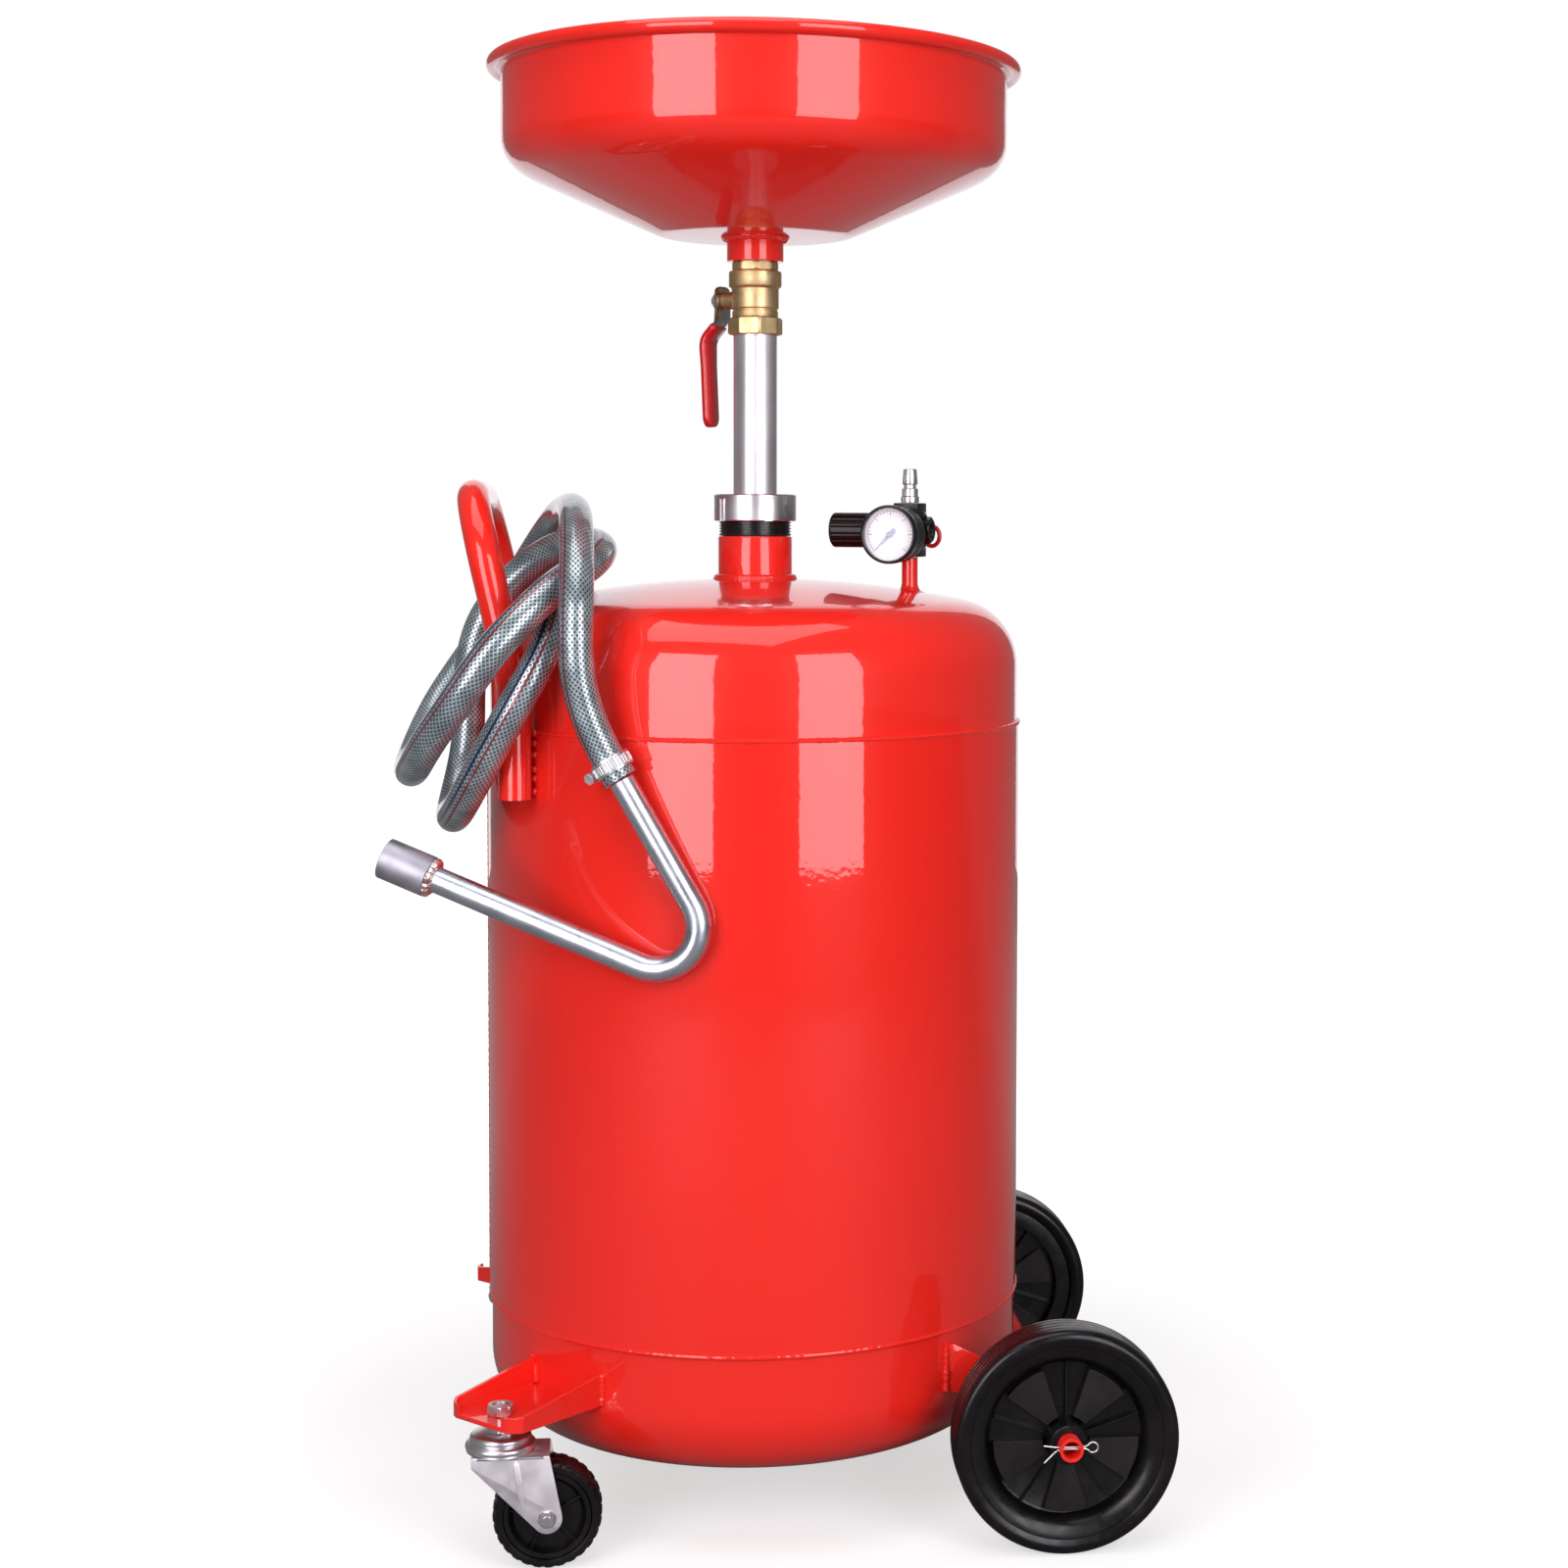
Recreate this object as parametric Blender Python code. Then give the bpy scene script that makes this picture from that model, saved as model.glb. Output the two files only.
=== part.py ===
"""Portable air-operated waste-oil drainer: a wheeled pressure tank with a collecting bowl on a sliding pipe.

Metres, +Z up. X runs from the casters (-X) to the axle (+X). The origin is on the floor, at the centre of
the object's outline; the tank's axis stands at TANK_X.
"""
import math

import bmesh
import bpy
from mathutils import Matrix, Vector

# ---------------------------------------------------------------- driving dimensions
TANK_X = -0.035            # the tank's axis, from the origin
GAP = 0.0003               # between pieces that touch

SHELL_R = 0.200            # barrel
SHELL_WALL = 0.0028
SEAM_LOW = 0.1459          # weld seams between the barrel and its heads
SEAM_HIGH = 0.5747
BEAD_R = 0.2012
HEAD_R = 0.1985            # dished heads
HEAD_WALL = 0.0025
HEAD_SKIRT = 0.0423
KNUCKLE_R = 0.050
CROWN_R = 0.800
NECK_R = 0.028
NECK_TOP = 0.7135

PIPE_R = 0.0164            # sliding drain pipe
PIPE_BORE = 0.0140
PIPE_BOTTOM = 0.200
PIPE_TOP = 0.873
BORE_R = 0.0172            # its guide in the neck
THREAD_R = 0.0274
THREAD_TOP = 0.7415
LOCK_NUT_R = 0.0288

VALVE_Z = 0.8915           # ball valve
VALVE_TURN = math.radians(146)   # azimuth of its stem
BALL_R = 0.0130
PORT_R = 0.0090
STEM_R = 0.0039

BOWL_FLOOR = 0.939         # bowl
BOWL_FLOOR_R = 0.0729
BOWL_R = 0.1888
BOWL_TOP = 1.066
BOWL_WALL = 0.0015
BOWL_LIP_R = 0.0048

TUBE_R = 0.0117            # push handle
TUBE_WALL = 0.0016
HANDLE_X = -0.176
HANDLE_HALF = 0.1208
HANDLE_FOOT = 0.528
HANDLE_BEND = 0.609
HANDLE_LEAN = math.radians(13)
HANDLE_REACH = 0.137
HANDLE_CORNER = 0.060

CASTER_AT = 0.258          # swivel, from the tank's axis
CASTER_TURN = math.radians(136)  # azimuth of the swivels
CASTER_R = 0.0377
CASTER_TRAIL = 0.032
CASTER_PLATE = 0.103       # underside of the bracket

WHEEL_R = 0.080            # rear wheels
WHEEL_X = 0.2085
WHEEL_Y = 0.191
WHEEL_RIM_R = 0.0685
AXLE_R = 0.0085
AXLE_HALF = 0.2225
PIN_Y = 0.2165
ARM_Y = 0.150              # axle brackets

REGULATOR = Vector((0.1155, -0.020, 0.7185))
REGULATOR_TURN = math.radians(-25)   # the gauge faces local -Y, the knob local -X

OUTLET = Vector((-0.133, 0.064, 0.684))
HOSE_R = 0.012
WAND_R = 0.0092
WAND_TURN = math.radians(-15)        # the wand's plane touches the barrel at azimuth -105 degrees
WAND_OUT = SHELL_R + WAND_R + 0.0006
WAND_HEAD = Vector((-0.049, 0.0, 0.5476))
WAND_BEND = Vector((-0.0252, 0.0, 0.4477))
WAND_BEND_R = 0.030
WAND_TAIL = 0.160          # straight run after the bend

# The hose's route, chosen by hand, in millimetres from the tank's axis and the floor.
HOSE_ROUTE_MM = [
    (-133, 48, 684), (-134, -24, 683), (-140, -86, 680), (-148, -133, 657), (-156, -152, 632),
    (-170, -158, 605), (-187, -150, 574), (-204, -129, 542), (-217, -97, 518), (-223, -62, 512),
    (-220, -32, 530), (-214, -17, 566), (-213, -10, 606), (-205, -8, 645), (-187, -12, 673),
    (-165, -20, 694), (-141, -36, 707), (-123, -60, 708), (-116, -90, 703), (-125, -118, 693),
    (-142, -143, 682), (-166, -165, 661), (-192, -174, 632), (-215, -167, 599), (-235, -143, 570),
    (-248, -102, 549), (-253, -54, 547), (-249, -8, 562), (-236, 32, 590), (-213, 50, 625),
    (-188, 53, 664), (-166, 39, 700), (-149, 6, 725), (-139, -42, 733), (-134, -97, 730),
    (-132, -149, 711), (-132, -187, 665), (-130, -189, 614), (-115, -187, 570), (-102, -190, 548),
]
HOSE_POINTS = 66

FINISHES = {               # colour, roughness, metallic
    "red_enamel": ((0.62, 0.010, 0.012), 0.18, 0.0),
    "black_iron": ((0.03, 0.03, 0.03), 0.45, 0.6),
    "aluminium": ((0.72, 0.72, 0.73), 0.35, 1.0),
    "brass": ((0.80, 0.58, 0.27), 0.30, 1.0),
    "zinc": ((0.62, 0.62, 0.60), 0.35, 1.0),
    "chrome": ((0.80, 0.80, 0.82), 0.12, 1.0),
    "steel": ((0.55, 0.55, 0.56), 0.30, 1.0),
    "black_plastic": ((0.02, 0.02, 0.022), 0.40, 0.0),
    "black_rubber": ((0.025, 0.025, 0.025), 0.75, 0.0),
    "red_vinyl": ((0.55, 0.02, 0.02), 0.35, 0.0),
    "white_dial": ((0.90, 0.90, 0.90), 0.50, 0.0),
    "clear_lens": ((0.95, 0.97, 1.00), 0.05, 0.0),
    "braided_hose": ((0.45, 0.48, 0.48), 0.30, 0.0),
}


# ---------------------------------------------------------------- scene helpers
def clear_scene():
    for old in list(bpy.data.objects):
        bpy.data.objects.remove(old, do_unlink=True)


def finish(slot, node):
    """The node's own Principled material in a named finish."""
    colour, roughness, metallic = FINISHES[slot]
    material = bpy.data.materials.new(f"{slot}_{node}")
    material.use_nodes = True
    shader = material.node_tree.nodes["Principled BSDF"]
    shader.inputs["Base Color"].default_value = (*colour, 1.0)
    shader.inputs["Roughness"].default_value = roughness
    shader.inputs["Metallic"].default_value = metallic
    return material


def axis_empty(name, at=(0, 0, 0), turn=None, parent=None):
    """An empty that carries a group of pieces; its local axes are what they are modelled in."""
    empty = bpy.data.objects.new(name, None)
    empty.empty_display_size = 0.03
    bpy.context.collection.objects.link(empty)
    empty.parent = parent
    empty.matrix_local = Matrix.Translation(at) @ (turn or Matrix.Identity(4))
    return empty


def put(name, bm, slot, parent, place=None):
    """Makes the node from a bmesh modelled in its parent's frame."""
    bmesh.ops.recalc_face_normals(bm, faces=bm.faces)
    mesh = bpy.data.meshes.new(name)
    bm.to_mesh(mesh)
    bm.free()
    mesh.shade_smooth()
    mesh.set_sharp_from_angle(angle=math.radians(35))
    node = bpy.data.objects.new(name, mesh)
    bpy.context.collection.objects.link(node)
    node.parent = parent
    node.matrix_local = place or Matrix.Identity(4)
    if slot:
        mesh.materials.append(finish(slot, name))
    return node


def helper(name, bm, parent, place=None):
    """A cutter or an added shape, left out of the object."""
    shape = put(name, bm, None, parent, place)
    shape.hide_render = True
    shape.display_type = "WIRE"
    return shape


def combine(node, shape, operation="DIFFERENCE"):
    step = node.modifiers.new(shape.name, "BOOLEAN")
    step.operation = operation
    step.solver = "EXACT"
    step.object = shape
    return node


def turn_x(degrees):
    return Matrix.Rotation(math.radians(degrees), 4, "X")


def turn_y(degrees):
    return Matrix.Rotation(math.radians(degrees), 4, "Y")


def turn_z(degrees):
    return Matrix.Rotation(math.radians(degrees), 4, "Z")


# ---------------------------------------------------------------- shape helpers
def turned(outline, sides=24, closed=True, phase=0.0):
    """Spins (radius, height) points around local Z. An open outline starts and ends on the axis."""
    bm = bmesh.new()
    start = [bm.verts.new((r * math.cos(phase), r * math.sin(phase), z)) for r, z in outline]
    loop = zip(start, start[1:] + start[:1]) if closed else zip(start, start[1:])
    edges = [bm.edges.new(pair) for pair in loop]
    bmesh.ops.spin(bm, geom=start + edges, cent=(0, 0, 0), axis=(0, 0, 1),
                   angle=2 * math.pi, steps=sides, use_merge=True)
    bmesh.ops.remove_doubles(bm, verts=bm.verts, dist=1e-6)
    return bm


def cylinder(radius, low, high, sides=16, phase=0.0):
    outline = [(0, low), (radius, low), (radius, high), (0, high)]
    return turned(outline, sides, closed=False, phase=phase)


def tube(outer, inner, low, high, sides=24):
    return turned([(inner, low), (outer, low), (outer, high), (inner, high)], sides)


def prism(outline, low, high):
    """An outline in local XY, extruded along Z."""
    bm = bmesh.new()
    base = bm.faces.new([bm.verts.new((x, y, low)) for x, y in outline])
    top = bmesh.ops.extrude_face_region(bm, geom=[base])["geom"]
    risen = [v for v in top if isinstance(v, bmesh.types.BMVert)]
    bmesh.ops.translate(bm, verts=risen, vec=(0, 0, high - low))
    return bm


def box(low, high):
    outline = [(low[0], low[1]), (high[0], low[1]), (high[0], high[1]), (low[0], high[1])]
    return prism(outline, low[2], high[2])


def polygon(radius, sides, phase=0.0):
    step = 2 * math.pi / sides
    return [(radius * math.cos(phase + i * step), radius * math.sin(phase + i * step))
            for i in range(sides)]


def arc(centre, radius, start, end, steps):
    """Points on an arc in a plane, angles in degrees, both ends included."""
    turns = [math.radians(start + (end - start) * i / steps) for i in range(steps + 1)]
    return [(centre[0] + radius * math.cos(a), centre[1] + radius * math.sin(a)) for a in turns]


def strip(path, thickness):
    """The outline of a bent strip of sheet along (a, b) points."""
    points = [Vector(p) for p in path]
    left, right = [], []
    for i, point in enumerate(points):
        before = (point - points[i - 1]).normalized() if i else None
        after = (points[i + 1] - point).normalized() if i < len(points) - 1 else None
        along = ((before or after) + (after or before)).normalized()
        side = Vector((-along.y, along.x))
        reach = thickness / 2 / side.dot(Vector((-(after or before).y, (after or before).x)))
        left.append(tuple(point + side * reach))
        right.append(tuple(point - side * reach))
    return left + right[::-1]


def swept(path, outer, inner=0.0, sides=8):
    """A round rod, or a tube open at both ends, along a path of points."""
    path = [Vector(p) for p in path]
    bm = bmesh.new()
    along = [(path[min(i + 1, len(path) - 1)] - path[max(i - 1, 0)]).normalized()
             for i in range(len(path))]
    side = along[0].orthogonal().normalized()
    walls = {outer: [], inner: []}
    for point, ahead in zip(path, along):
        side = (side - ahead * side.dot(ahead)).normalized()
        up = ahead.cross(side)
        for radius in {outer, inner} - {0.0}:
            ring = polygon(radius, sides)
            walls[radius].append([bm.verts.new(point + side * x + up * y) for x, y in ring])
    rings = walls[outer]
    if inner:
        rings = rings + walls[inner][::-1] + rings[:1]
    for one, two in zip(rings, rings[1:]):
        for j in range(sides):
            k = (j + 1) % sides
            bm.faces.new((one[j], one[k], two[k], two[j]))
    if not inner:
        bm.faces.new(rings[0])
        bm.faces.new(rings[-1])
    return bm


# ---------------------------------------------------------------- tank
def crown_height(radius, wall=0.0):
    """Height of the dished head over its knuckle's centre line, at a radius on the crown."""
    centre = -math.sqrt((CROWN_R - KNUCKLE_R) ** 2 - (HEAD_R - KNUCKLE_R) ** 2)
    return centre + math.sqrt((CROWN_R - wall) ** 2 - radius ** 2)


def head_outline(hole, wall, knuckle_steps, crown_steps):
    """The head's face from the skirt's edge in to the hole, as (radius, height over the seam)."""
    centre = (HEAD_R - KNUCKLE_R, HEAD_SKIRT)
    tangent = math.degrees(math.acos((HEAD_R - KNUCKLE_R) / (CROWN_R - KNUCKLE_R)))
    points = [(HEAD_R - wall, GAP / 2)] + arc(centre, KNUCKLE_R - wall, 0, tangent, knuckle_steps)
    edge = points[-1][0]
    for i in range(1, crown_steps + 1):
        radius = edge + (hole - edge) * i / crown_steps
        points.append((radius, HEAD_SKIRT + crown_height(radius, wall)))
    return points


def dished_head(name, seam, up, hole, parent):
    outer = head_outline(hole, 0.0, 4, 2)
    inner = head_outline(hole, HEAD_WALL, 3, 1)
    outline = [(r, seam + up * h) for r, h in outer[::-1] + inner]
    return put(name, turned(outline, 48, closed=hole > 0), "red_enamel", parent)


def tank_barrel(parent):
    """The rolled barrel with the weld beads that lap its two heads."""
    inner = SHELL_R - SHELL_WALL
    lap = HEAD_R + 0.0004

    def bead(seam, up):
        return [(inner, seam - up * GAP), (lap, seam - up * GAP), (lap, seam + up * 0.0024),
                (0.2004, seam + up * 0.0028), (BEAD_R, seam + up * 0.0012),
                (BEAD_R, seam - up * 0.0015), (SHELL_R, seam - up * 0.0032)]

    outline = bead(SEAM_LOW, -1) + bead(SEAM_HIGH, 1)[::-1]
    return put("tank_barrel", turned(outline, 48), "red_enamel", parent)


def make_tank(parent):
    tank_barrel(parent)
    top = dished_head("tank_top_head", SEAM_HIGH, 1, NECK_R + GAP, parent)
    dished_head("tank_bottom_head", SEAM_LOW, -1, 0.0, parent)
    for name, at, radius in (("riser_hole", REGULATOR, 0.0064), ("outlet_hole", OUTLET, 0.0079)):
        hole = helper(name, cylinder(radius, 0.64, 0.70), parent, Matrix.Translation((at.x, at.y, 0)))
        combine(top, hole)
    put("filler_neck", tube(NECK_R, 0.0252, 0.672, NECK_TOP, 48), "red_enamel", parent)


def make_pipe_guide(parent, nut_axis):
    """The threaded neck insert, the packing round the pipe and the nut that squeezes it."""
    seat = 0.728
    outline = [(BORE_R, 0.690), (0.0245, 0.690), (0.0245, NECK_TOP + GAP), (THREAD_R, NECK_TOP + GAP),
               (THREAD_R, THREAD_TOP), (0.0200, THREAD_TOP), (0.0200, seat), (BORE_R, seat)]
    put("neck_thread", turned(outline), "black_iron", parent)
    put("pipe_packing", tube(0.0197, 0.01665, seat + GAP, 0.7370), "black_rubber", parent)

    lugs = []
    for i in range(6):
        middle = math.radians(60 * i)
        for spread, radius in ((-18, LOCK_NUT_R), (-11, 0.031), (11, 0.031), (18, LOCK_NUT_R)):
            angle = middle + math.radians(spread)
            lugs.append((radius * math.cos(angle), radius * math.sin(angle)))
    nut = put("lock_nut", prism(lugs, 0.725, 0.745), "aluminium", nut_axis)
    inside = THREAD_R + 0.0005
    lip = THREAD_TOP + 0.0005
    bore = [(0, 0.720), (inside, 0.720), (inside, lip), (0.0169, lip), (0.0169, 0.750), (0, 0.750)]
    combine(nut, helper("lock_nut_bore", turned(bore, closed=False), nut_axis))


# ---------------------------------------------------------------- pipe, valve and bowl
def make_pipe(slide, swivel):
    put("pipe_stop_collar", tube(0.0235, PIPE_R + 0.0004, 0.200, 0.225), "steel", slide)
    put("drain_pipe", tube(PIPE_R, PIPE_BORE, PIPE_BOTTOM, PIPE_TOP), "aluminium", swivel)


def stem_place():
    """The valve's centre, with local X along its stem."""
    return Matrix.Translation((0, 0, VALVE_Z)) @ Matrix.Rotation(VALVE_TURN, 4, "Z")


def make_valve(parent, lever_axis):
    """The lever frame's X runs along the stem, away from the valve."""
    nut = put("valve_end_nut", prism(polygon(0.0208, 8, math.radians(-84.5)), 0.8650, 0.8775),
              "brass", parent)
    shoulder = PIPE_TOP + GAP
    bore = [(0, 0.860), (PIPE_R + 0.0004, 0.860), (PIPE_R + 0.0004, shoulder),
            (PORT_R, shoulder), (PORT_R, 0.880), (0, 0.880)]
    combine(nut, helper("end_nut_bore", turned(bore, closed=False), parent))

    top, cavity = 0.9192, BALL_R + 0.0006
    outline = [(cavity, 0.8780), (0.0172, 0.8780), (0.0172, 0.8832), (0.0177, 0.8840),
               (0.0177, 0.9000), (0.0198, 0.9022), (0.0198, 0.9125), (0.0173, 0.9129),
               (0.0173, top), (PORT_R, top), (PORT_R, 0.9052), (cavity, 0.9052)]
    body = put("valve_body", turned(outline), "brass", parent)
    combine(body, helper("stem_hole", cylinder(0.0043, 0.010, 0.022), lever_axis, turn_y(90)))

    reach = math.degrees(math.acos(0.0085 / BALL_R))
    ball = turned(arc((0, 0), BALL_R, -reach, reach, 7), 20)
    put("valve_ball", ball, "chrome", lever_axis)
    put("valve_stem", cylinder(STEM_R, 0.0134, 0.0368, 12), "steel", lever_axis, turn_y(90))
    put("valve_gland", tube(0.0065, 0.0043, 0.0180, 0.0274, 16), "brass", parent,
        stem_place() @ turn_y(90))
    stem_nut = put("stem_nut", prism(polygon(0.0060, 6), 0.0304, 0.0352), "zinc", lever_axis, turn_y(90))
    combine(stem_nut, helper("stem_nut_bore", cylinder(0.0043, 0.028, 0.038), lever_axis, turn_y(90)))
    make_lever(lever_axis)


def make_lever(lever_axis):
    """A bent steel strip in a vinyl sleeve; paths are (distance along the stem, height)."""
    upright = turn_x(90)   # an outline in (x, z), extruded along y
    path = [(0.0289, 0.0105), (0.0289, -0.0160), (0.0420, -0.0290), (0.0392, -0.0900)]
    lever = put("valve_lever", prism(strip(path, 0.0025), -0.007, 0.007), "zinc", lever_axis, upright)
    combine(lever, helper("lever_hole", cylinder(0.0043, 0.024, 0.034), lever_axis, turn_y(90)))

    sleeve = [(0.0305, -0.0176), (0.0420, -0.0290), (0.03895, -0.0955)]
    grip = put("lever_grip", prism(strip(sleeve, 0.0055), -0.0085, 0.0085), "red_vinyl",
               lever_axis, upright)
    pocket = [(0.0289, 0.0000), (0.0289, -0.0160), (0.0420, -0.0290), (0.03915, -0.0910)]
    combine(grip, helper("grip_pocket", prism(strip(pocket, 0.0032), -0.0074, 0.0074),
                         lever_axis, upright))


def make_bowl(parent):
    base = BOWL_FLOOR - BOWL_WALL / 2
    put("bowl_socket", tube(0.0214, 0.0115, 0.9195, base - GAP), "red_enamel", parent)

    lip = (BOWL_R + 0.006, BOWL_TOP - BOWL_LIP_R)
    inner = BOWL_R - BOWL_WALL
    outer_face = [(0.0100, base), (BOWL_FLOOR_R, base), (0.1725, 0.9830)]
    outer_face += [(0.1800, 0.9875), (0.1858, 0.9935), (BOWL_R, 1.0020), (BOWL_R, 1.0545)]
    outer_face += arc(lip, BOWL_LIP_R, -120, 90, 5)
    inner_face = [(inner + 0.0025, BOWL_TOP - 0.0004), (inner, BOWL_TOP - 0.0035), (inner, 1.0022),
                  (0.1844, 0.9943), (0.1790, 0.9889), (0.1718, 0.9845)]
    inner_face += [(BOWL_FLOOR_R - 0.0004, base + BOWL_WALL), (0.0100, base + BOWL_WALL)]
    put("bowl", turned(outer_face + inner_face, 48), "red_enamel", parent)

    floor = base + BOWL_WALL + GAP
    strainer = put("bowl_strainer", prism(polygon(0.062, 24), floor, floor + 0.0012), "zinc", parent)
    for ring, (count, radius) in enumerate(((1, 0.0), (8, 0.038))):
        for i in range(count):
            at = Matrix.Rotation(2 * math.pi * i / count, 4, "Z") @ Matrix.Translation((radius, 0, 0))
            drill = cylinder(0.0060, floor - 0.002, floor + 0.004, 8)
            combine(strainer, helper(f"strainer_hole_{ring}_{i}", drill, parent, at))


# ---------------------------------------------------------------- handle
def handle_path():
    """Up one leg, round the two corners of the leaning loop and down the other leg."""
    lean = Vector((-math.sin(HANDLE_LEAN), 0, math.cos(HANDLE_LEAN)))
    knee = Vector((HANDLE_X, -HANDLE_HALF, HANDLE_BEND))
    leg = [Vector((HANDLE_X, -HANDLE_HALF, HANDLE_FOOT)), knee - Vector((0, 0, 0.022)),
           knee + (lean - Vector((0, 0, 1))) * 0.0055, knee + lean * 0.022]
    rise, corner = HANDLE_REACH - HANDLE_CORNER, HANDLE_CORNER
    for i in range(7):
        angle = math.radians(15 * i)
        leg.append(knee + lean * (rise + corner * math.sin(angle))
                   + Vector((0, corner * (1 - math.cos(angle)), 0)))
    return leg + [Vector((p.x, -p.y, p.z)) for p in reversed(leg)]


def make_handle(parent):
    put("handle_tube", swept(handle_path(), TUBE_R, TUBE_R - TUBE_WALL, 10), "red_enamel", parent)


# ---------------------------------------------------------------- casters
def caster_bracket(name, parent):
    """A channel that opens upward, from the tank out over the swivel; local X points away from the tank."""
    half, sheet, floor = 0.035, 0.0035, CASTER_PLATE
    stations = ((0.180, half, 0.0245), (0.269, half, 0.0112), (0.277, half - 0.008, 0.0105))
    bm = bmesh.new()
    rings = []
    for x, wide, tall in stations:
        section = [(-wide, floor), (wide, floor), (wide, floor + tall), (wide - sheet, floor + tall),
                   (wide - sheet, floor + sheet), (sheet - wide, floor + sheet),
                   (sheet - wide, floor + tall), (-wide, floor + tall)]
        rings.append([bm.verts.new((x, y, z)) for y, z in section])
    for one, two in zip(rings, rings[1:]):
        for j in range(len(one)):
            k = (j + 1) % len(one)
            bm.faces.new((one[j], one[k], two[k], two[j]))
    bm.faces.new(rings[0])
    bm.faces.new(rings[-1])
    bracket = put(name, bm, "red_enamel", parent)
    shell = cylinder(SHELL_R - 0.0009, 0.05, 0.16, 48, -CASTER_TURN)
    combine(bracket, helper(name + "_fit", shell, parent))
    bolt_hole = cylinder(0.0060, floor - 0.01, floor + 0.02)
    combine(bracket, helper(name + "_hole", bolt_hole, parent, Matrix.Translation((CASTER_AT, 0, 0))))


def caster_fork(name, parent):
    """A pressed U: a top plate at the swivel and two legs that trail down to the wheel's axle."""
    top, sheet, half = 0.0820, 0.0025, 0.0185
    hub = (CASTER_TRAIL, CASTER_R)
    side = [(-0.0195, top), (-0.0195, top - 0.006)] + arc(hub, 0.0105, 215, 371, 7)
    side.append((0.0335, top))
    fork = put(name, prism(side, -half, half), "zinc", parent, turn_x(90))
    gap = box((-0.06, sheet - half, 0.0), (0.08, half - sheet, top - sheet))
    combine(fork, helper(name + "_gap", gap, parent))
    combine(fork, helper(name + "_swivel_hole", cylinder(0.0060, 0.07, 0.09), parent))
    at = Matrix.Translation((CASTER_TRAIL, 0, CASTER_R)) @ turn_x(90)
    combine(fork, helper(name + "_axle_hole", cylinder(0.0043, -0.03, 0.03), parent, at))


def make_caster(side, root):
    """One swivel caster; side is "near" (-Y) or "far" (+Y)."""
    azimuth = -CASTER_TURN if side == "near" else CASTER_TURN
    ray = axis_empty(f"{side}_bracket_axis", turn=Matrix.Rotation(azimuth, 4, "Z"), parent=root)
    at = Vector((CASTER_AT * math.cos(azimuth), CASTER_AT * math.sin(azimuth), 0))
    swivel = axis_empty(f"{side}_swivel_axis", at, parent=root)
    wheel = axis_empty(f"{side}_caster_wheel_axis", (CASTER_TRAIL, 0, CASTER_R), turn_x(90), swivel)
    caster_bracket(f"caster_bracket_{side}", ray)
    plate, fork_top = CASTER_PLATE, 0.0820
    put(f"caster_race_{side}", tube(0.0245, 0.0060, fork_top + GAP, 0.0945), "chrome", swivel)
    bolt = [(0, 0.0695), (0.0085, 0.0695), (0.0085, 0.0790), (0.0054, 0.0790), (0.0054, 0.0948),
            (0.0098, 0.0948), (0.0098, plate - GAP), (0.0054, plate - GAP), (0.0054, 0.1068),
            (0.0098, 0.1068), (0.0098, 0.1135), (0, 0.1135)]
    put(f"caster_bolt_{side}", turned(bolt, 12, closed=False), "zinc", root, Matrix.Translation(at))
    caster_fork(f"caster_fork_{side}", swivel)
    axle = [(0, -0.0212), (0.0062, -0.0204), (0.0062, -0.0188), (0.0038, -0.0188),
            (0.0038, 0.0188), (0.0062, 0.0188), (0.0062, 0.0204), (0, 0.0212)]
    put(f"caster_axle_{side}", turned(axle, 12, closed=False), "steel", wheel)
    hub = [(0.0044, -0.0140), (0.0090, -0.0140), (0.0110, -0.0090), (0.0245, -0.0090),
           (0.0262, -0.0120), (0.0305, -0.0120), (0.0305, 0.0120), (0.0262, 0.0120),
           (0.0245, 0.0090), (0.0110, 0.0090), (0.0090, 0.0140), (0.0044, 0.0140)]
    put(f"caster_wheel_{side}", turned(hub, 16), "black_plastic", wheel)
    tread = [(0.0309, -0.0125), (0.0345, -0.0133), (CASTER_R, -0.0105), (CASTER_R, 0.0105),
             (0.0345, 0.0133), (0.0309, 0.0125)]
    put(f"caster_tyre_{side}", turned(tread), "black_rubber", wheel)


# ---------------------------------------------------------------- rear wheels
def axle_arm(name, y, parent):
    """A plate that carries the axle; its outline is in (x, z)."""
    outline = [(0.125, 0.1358), (0.1352, 0.1358), (0.2085, 0.0955)]
    outline += arc((WHEEL_X, WHEEL_R), 0.0155, 75, -105, 6)
    outline += [(0.1352, 0.1010), (0.125, 0.1010)]
    arm = put(name, prism(outline, -0.002, 0.002), "red_enamel", parent,
              Matrix.Translation((0, y, 0)) @ turn_x(90))
    combine(arm, helper(name + "_fit", cylinder(SHELL_R - 0.0009, 0.05, 0.16, 48), parent))
    at = Matrix.Translation((WHEEL_X, y, WHEEL_R)) @ turn_x(90)
    combine(arm, helper(name + "_hole", cylinder(AXLE_R + 0.0004, -0.02, 0.02), parent, at))


def split_pin_path():
    """Through the axle along X, with an eye at +X and a bent leg at -X."""
    legs = [(-0.0180, 0.0052), (-0.0150, 0.0020), (-0.0115, 0.0), (0.0100, 0.0)]
    eye = arc((0.0160, 0.0), 0.0042, 215, 520, 9)
    return [(x, 0.0, z) for x, z in legs + eye]


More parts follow.
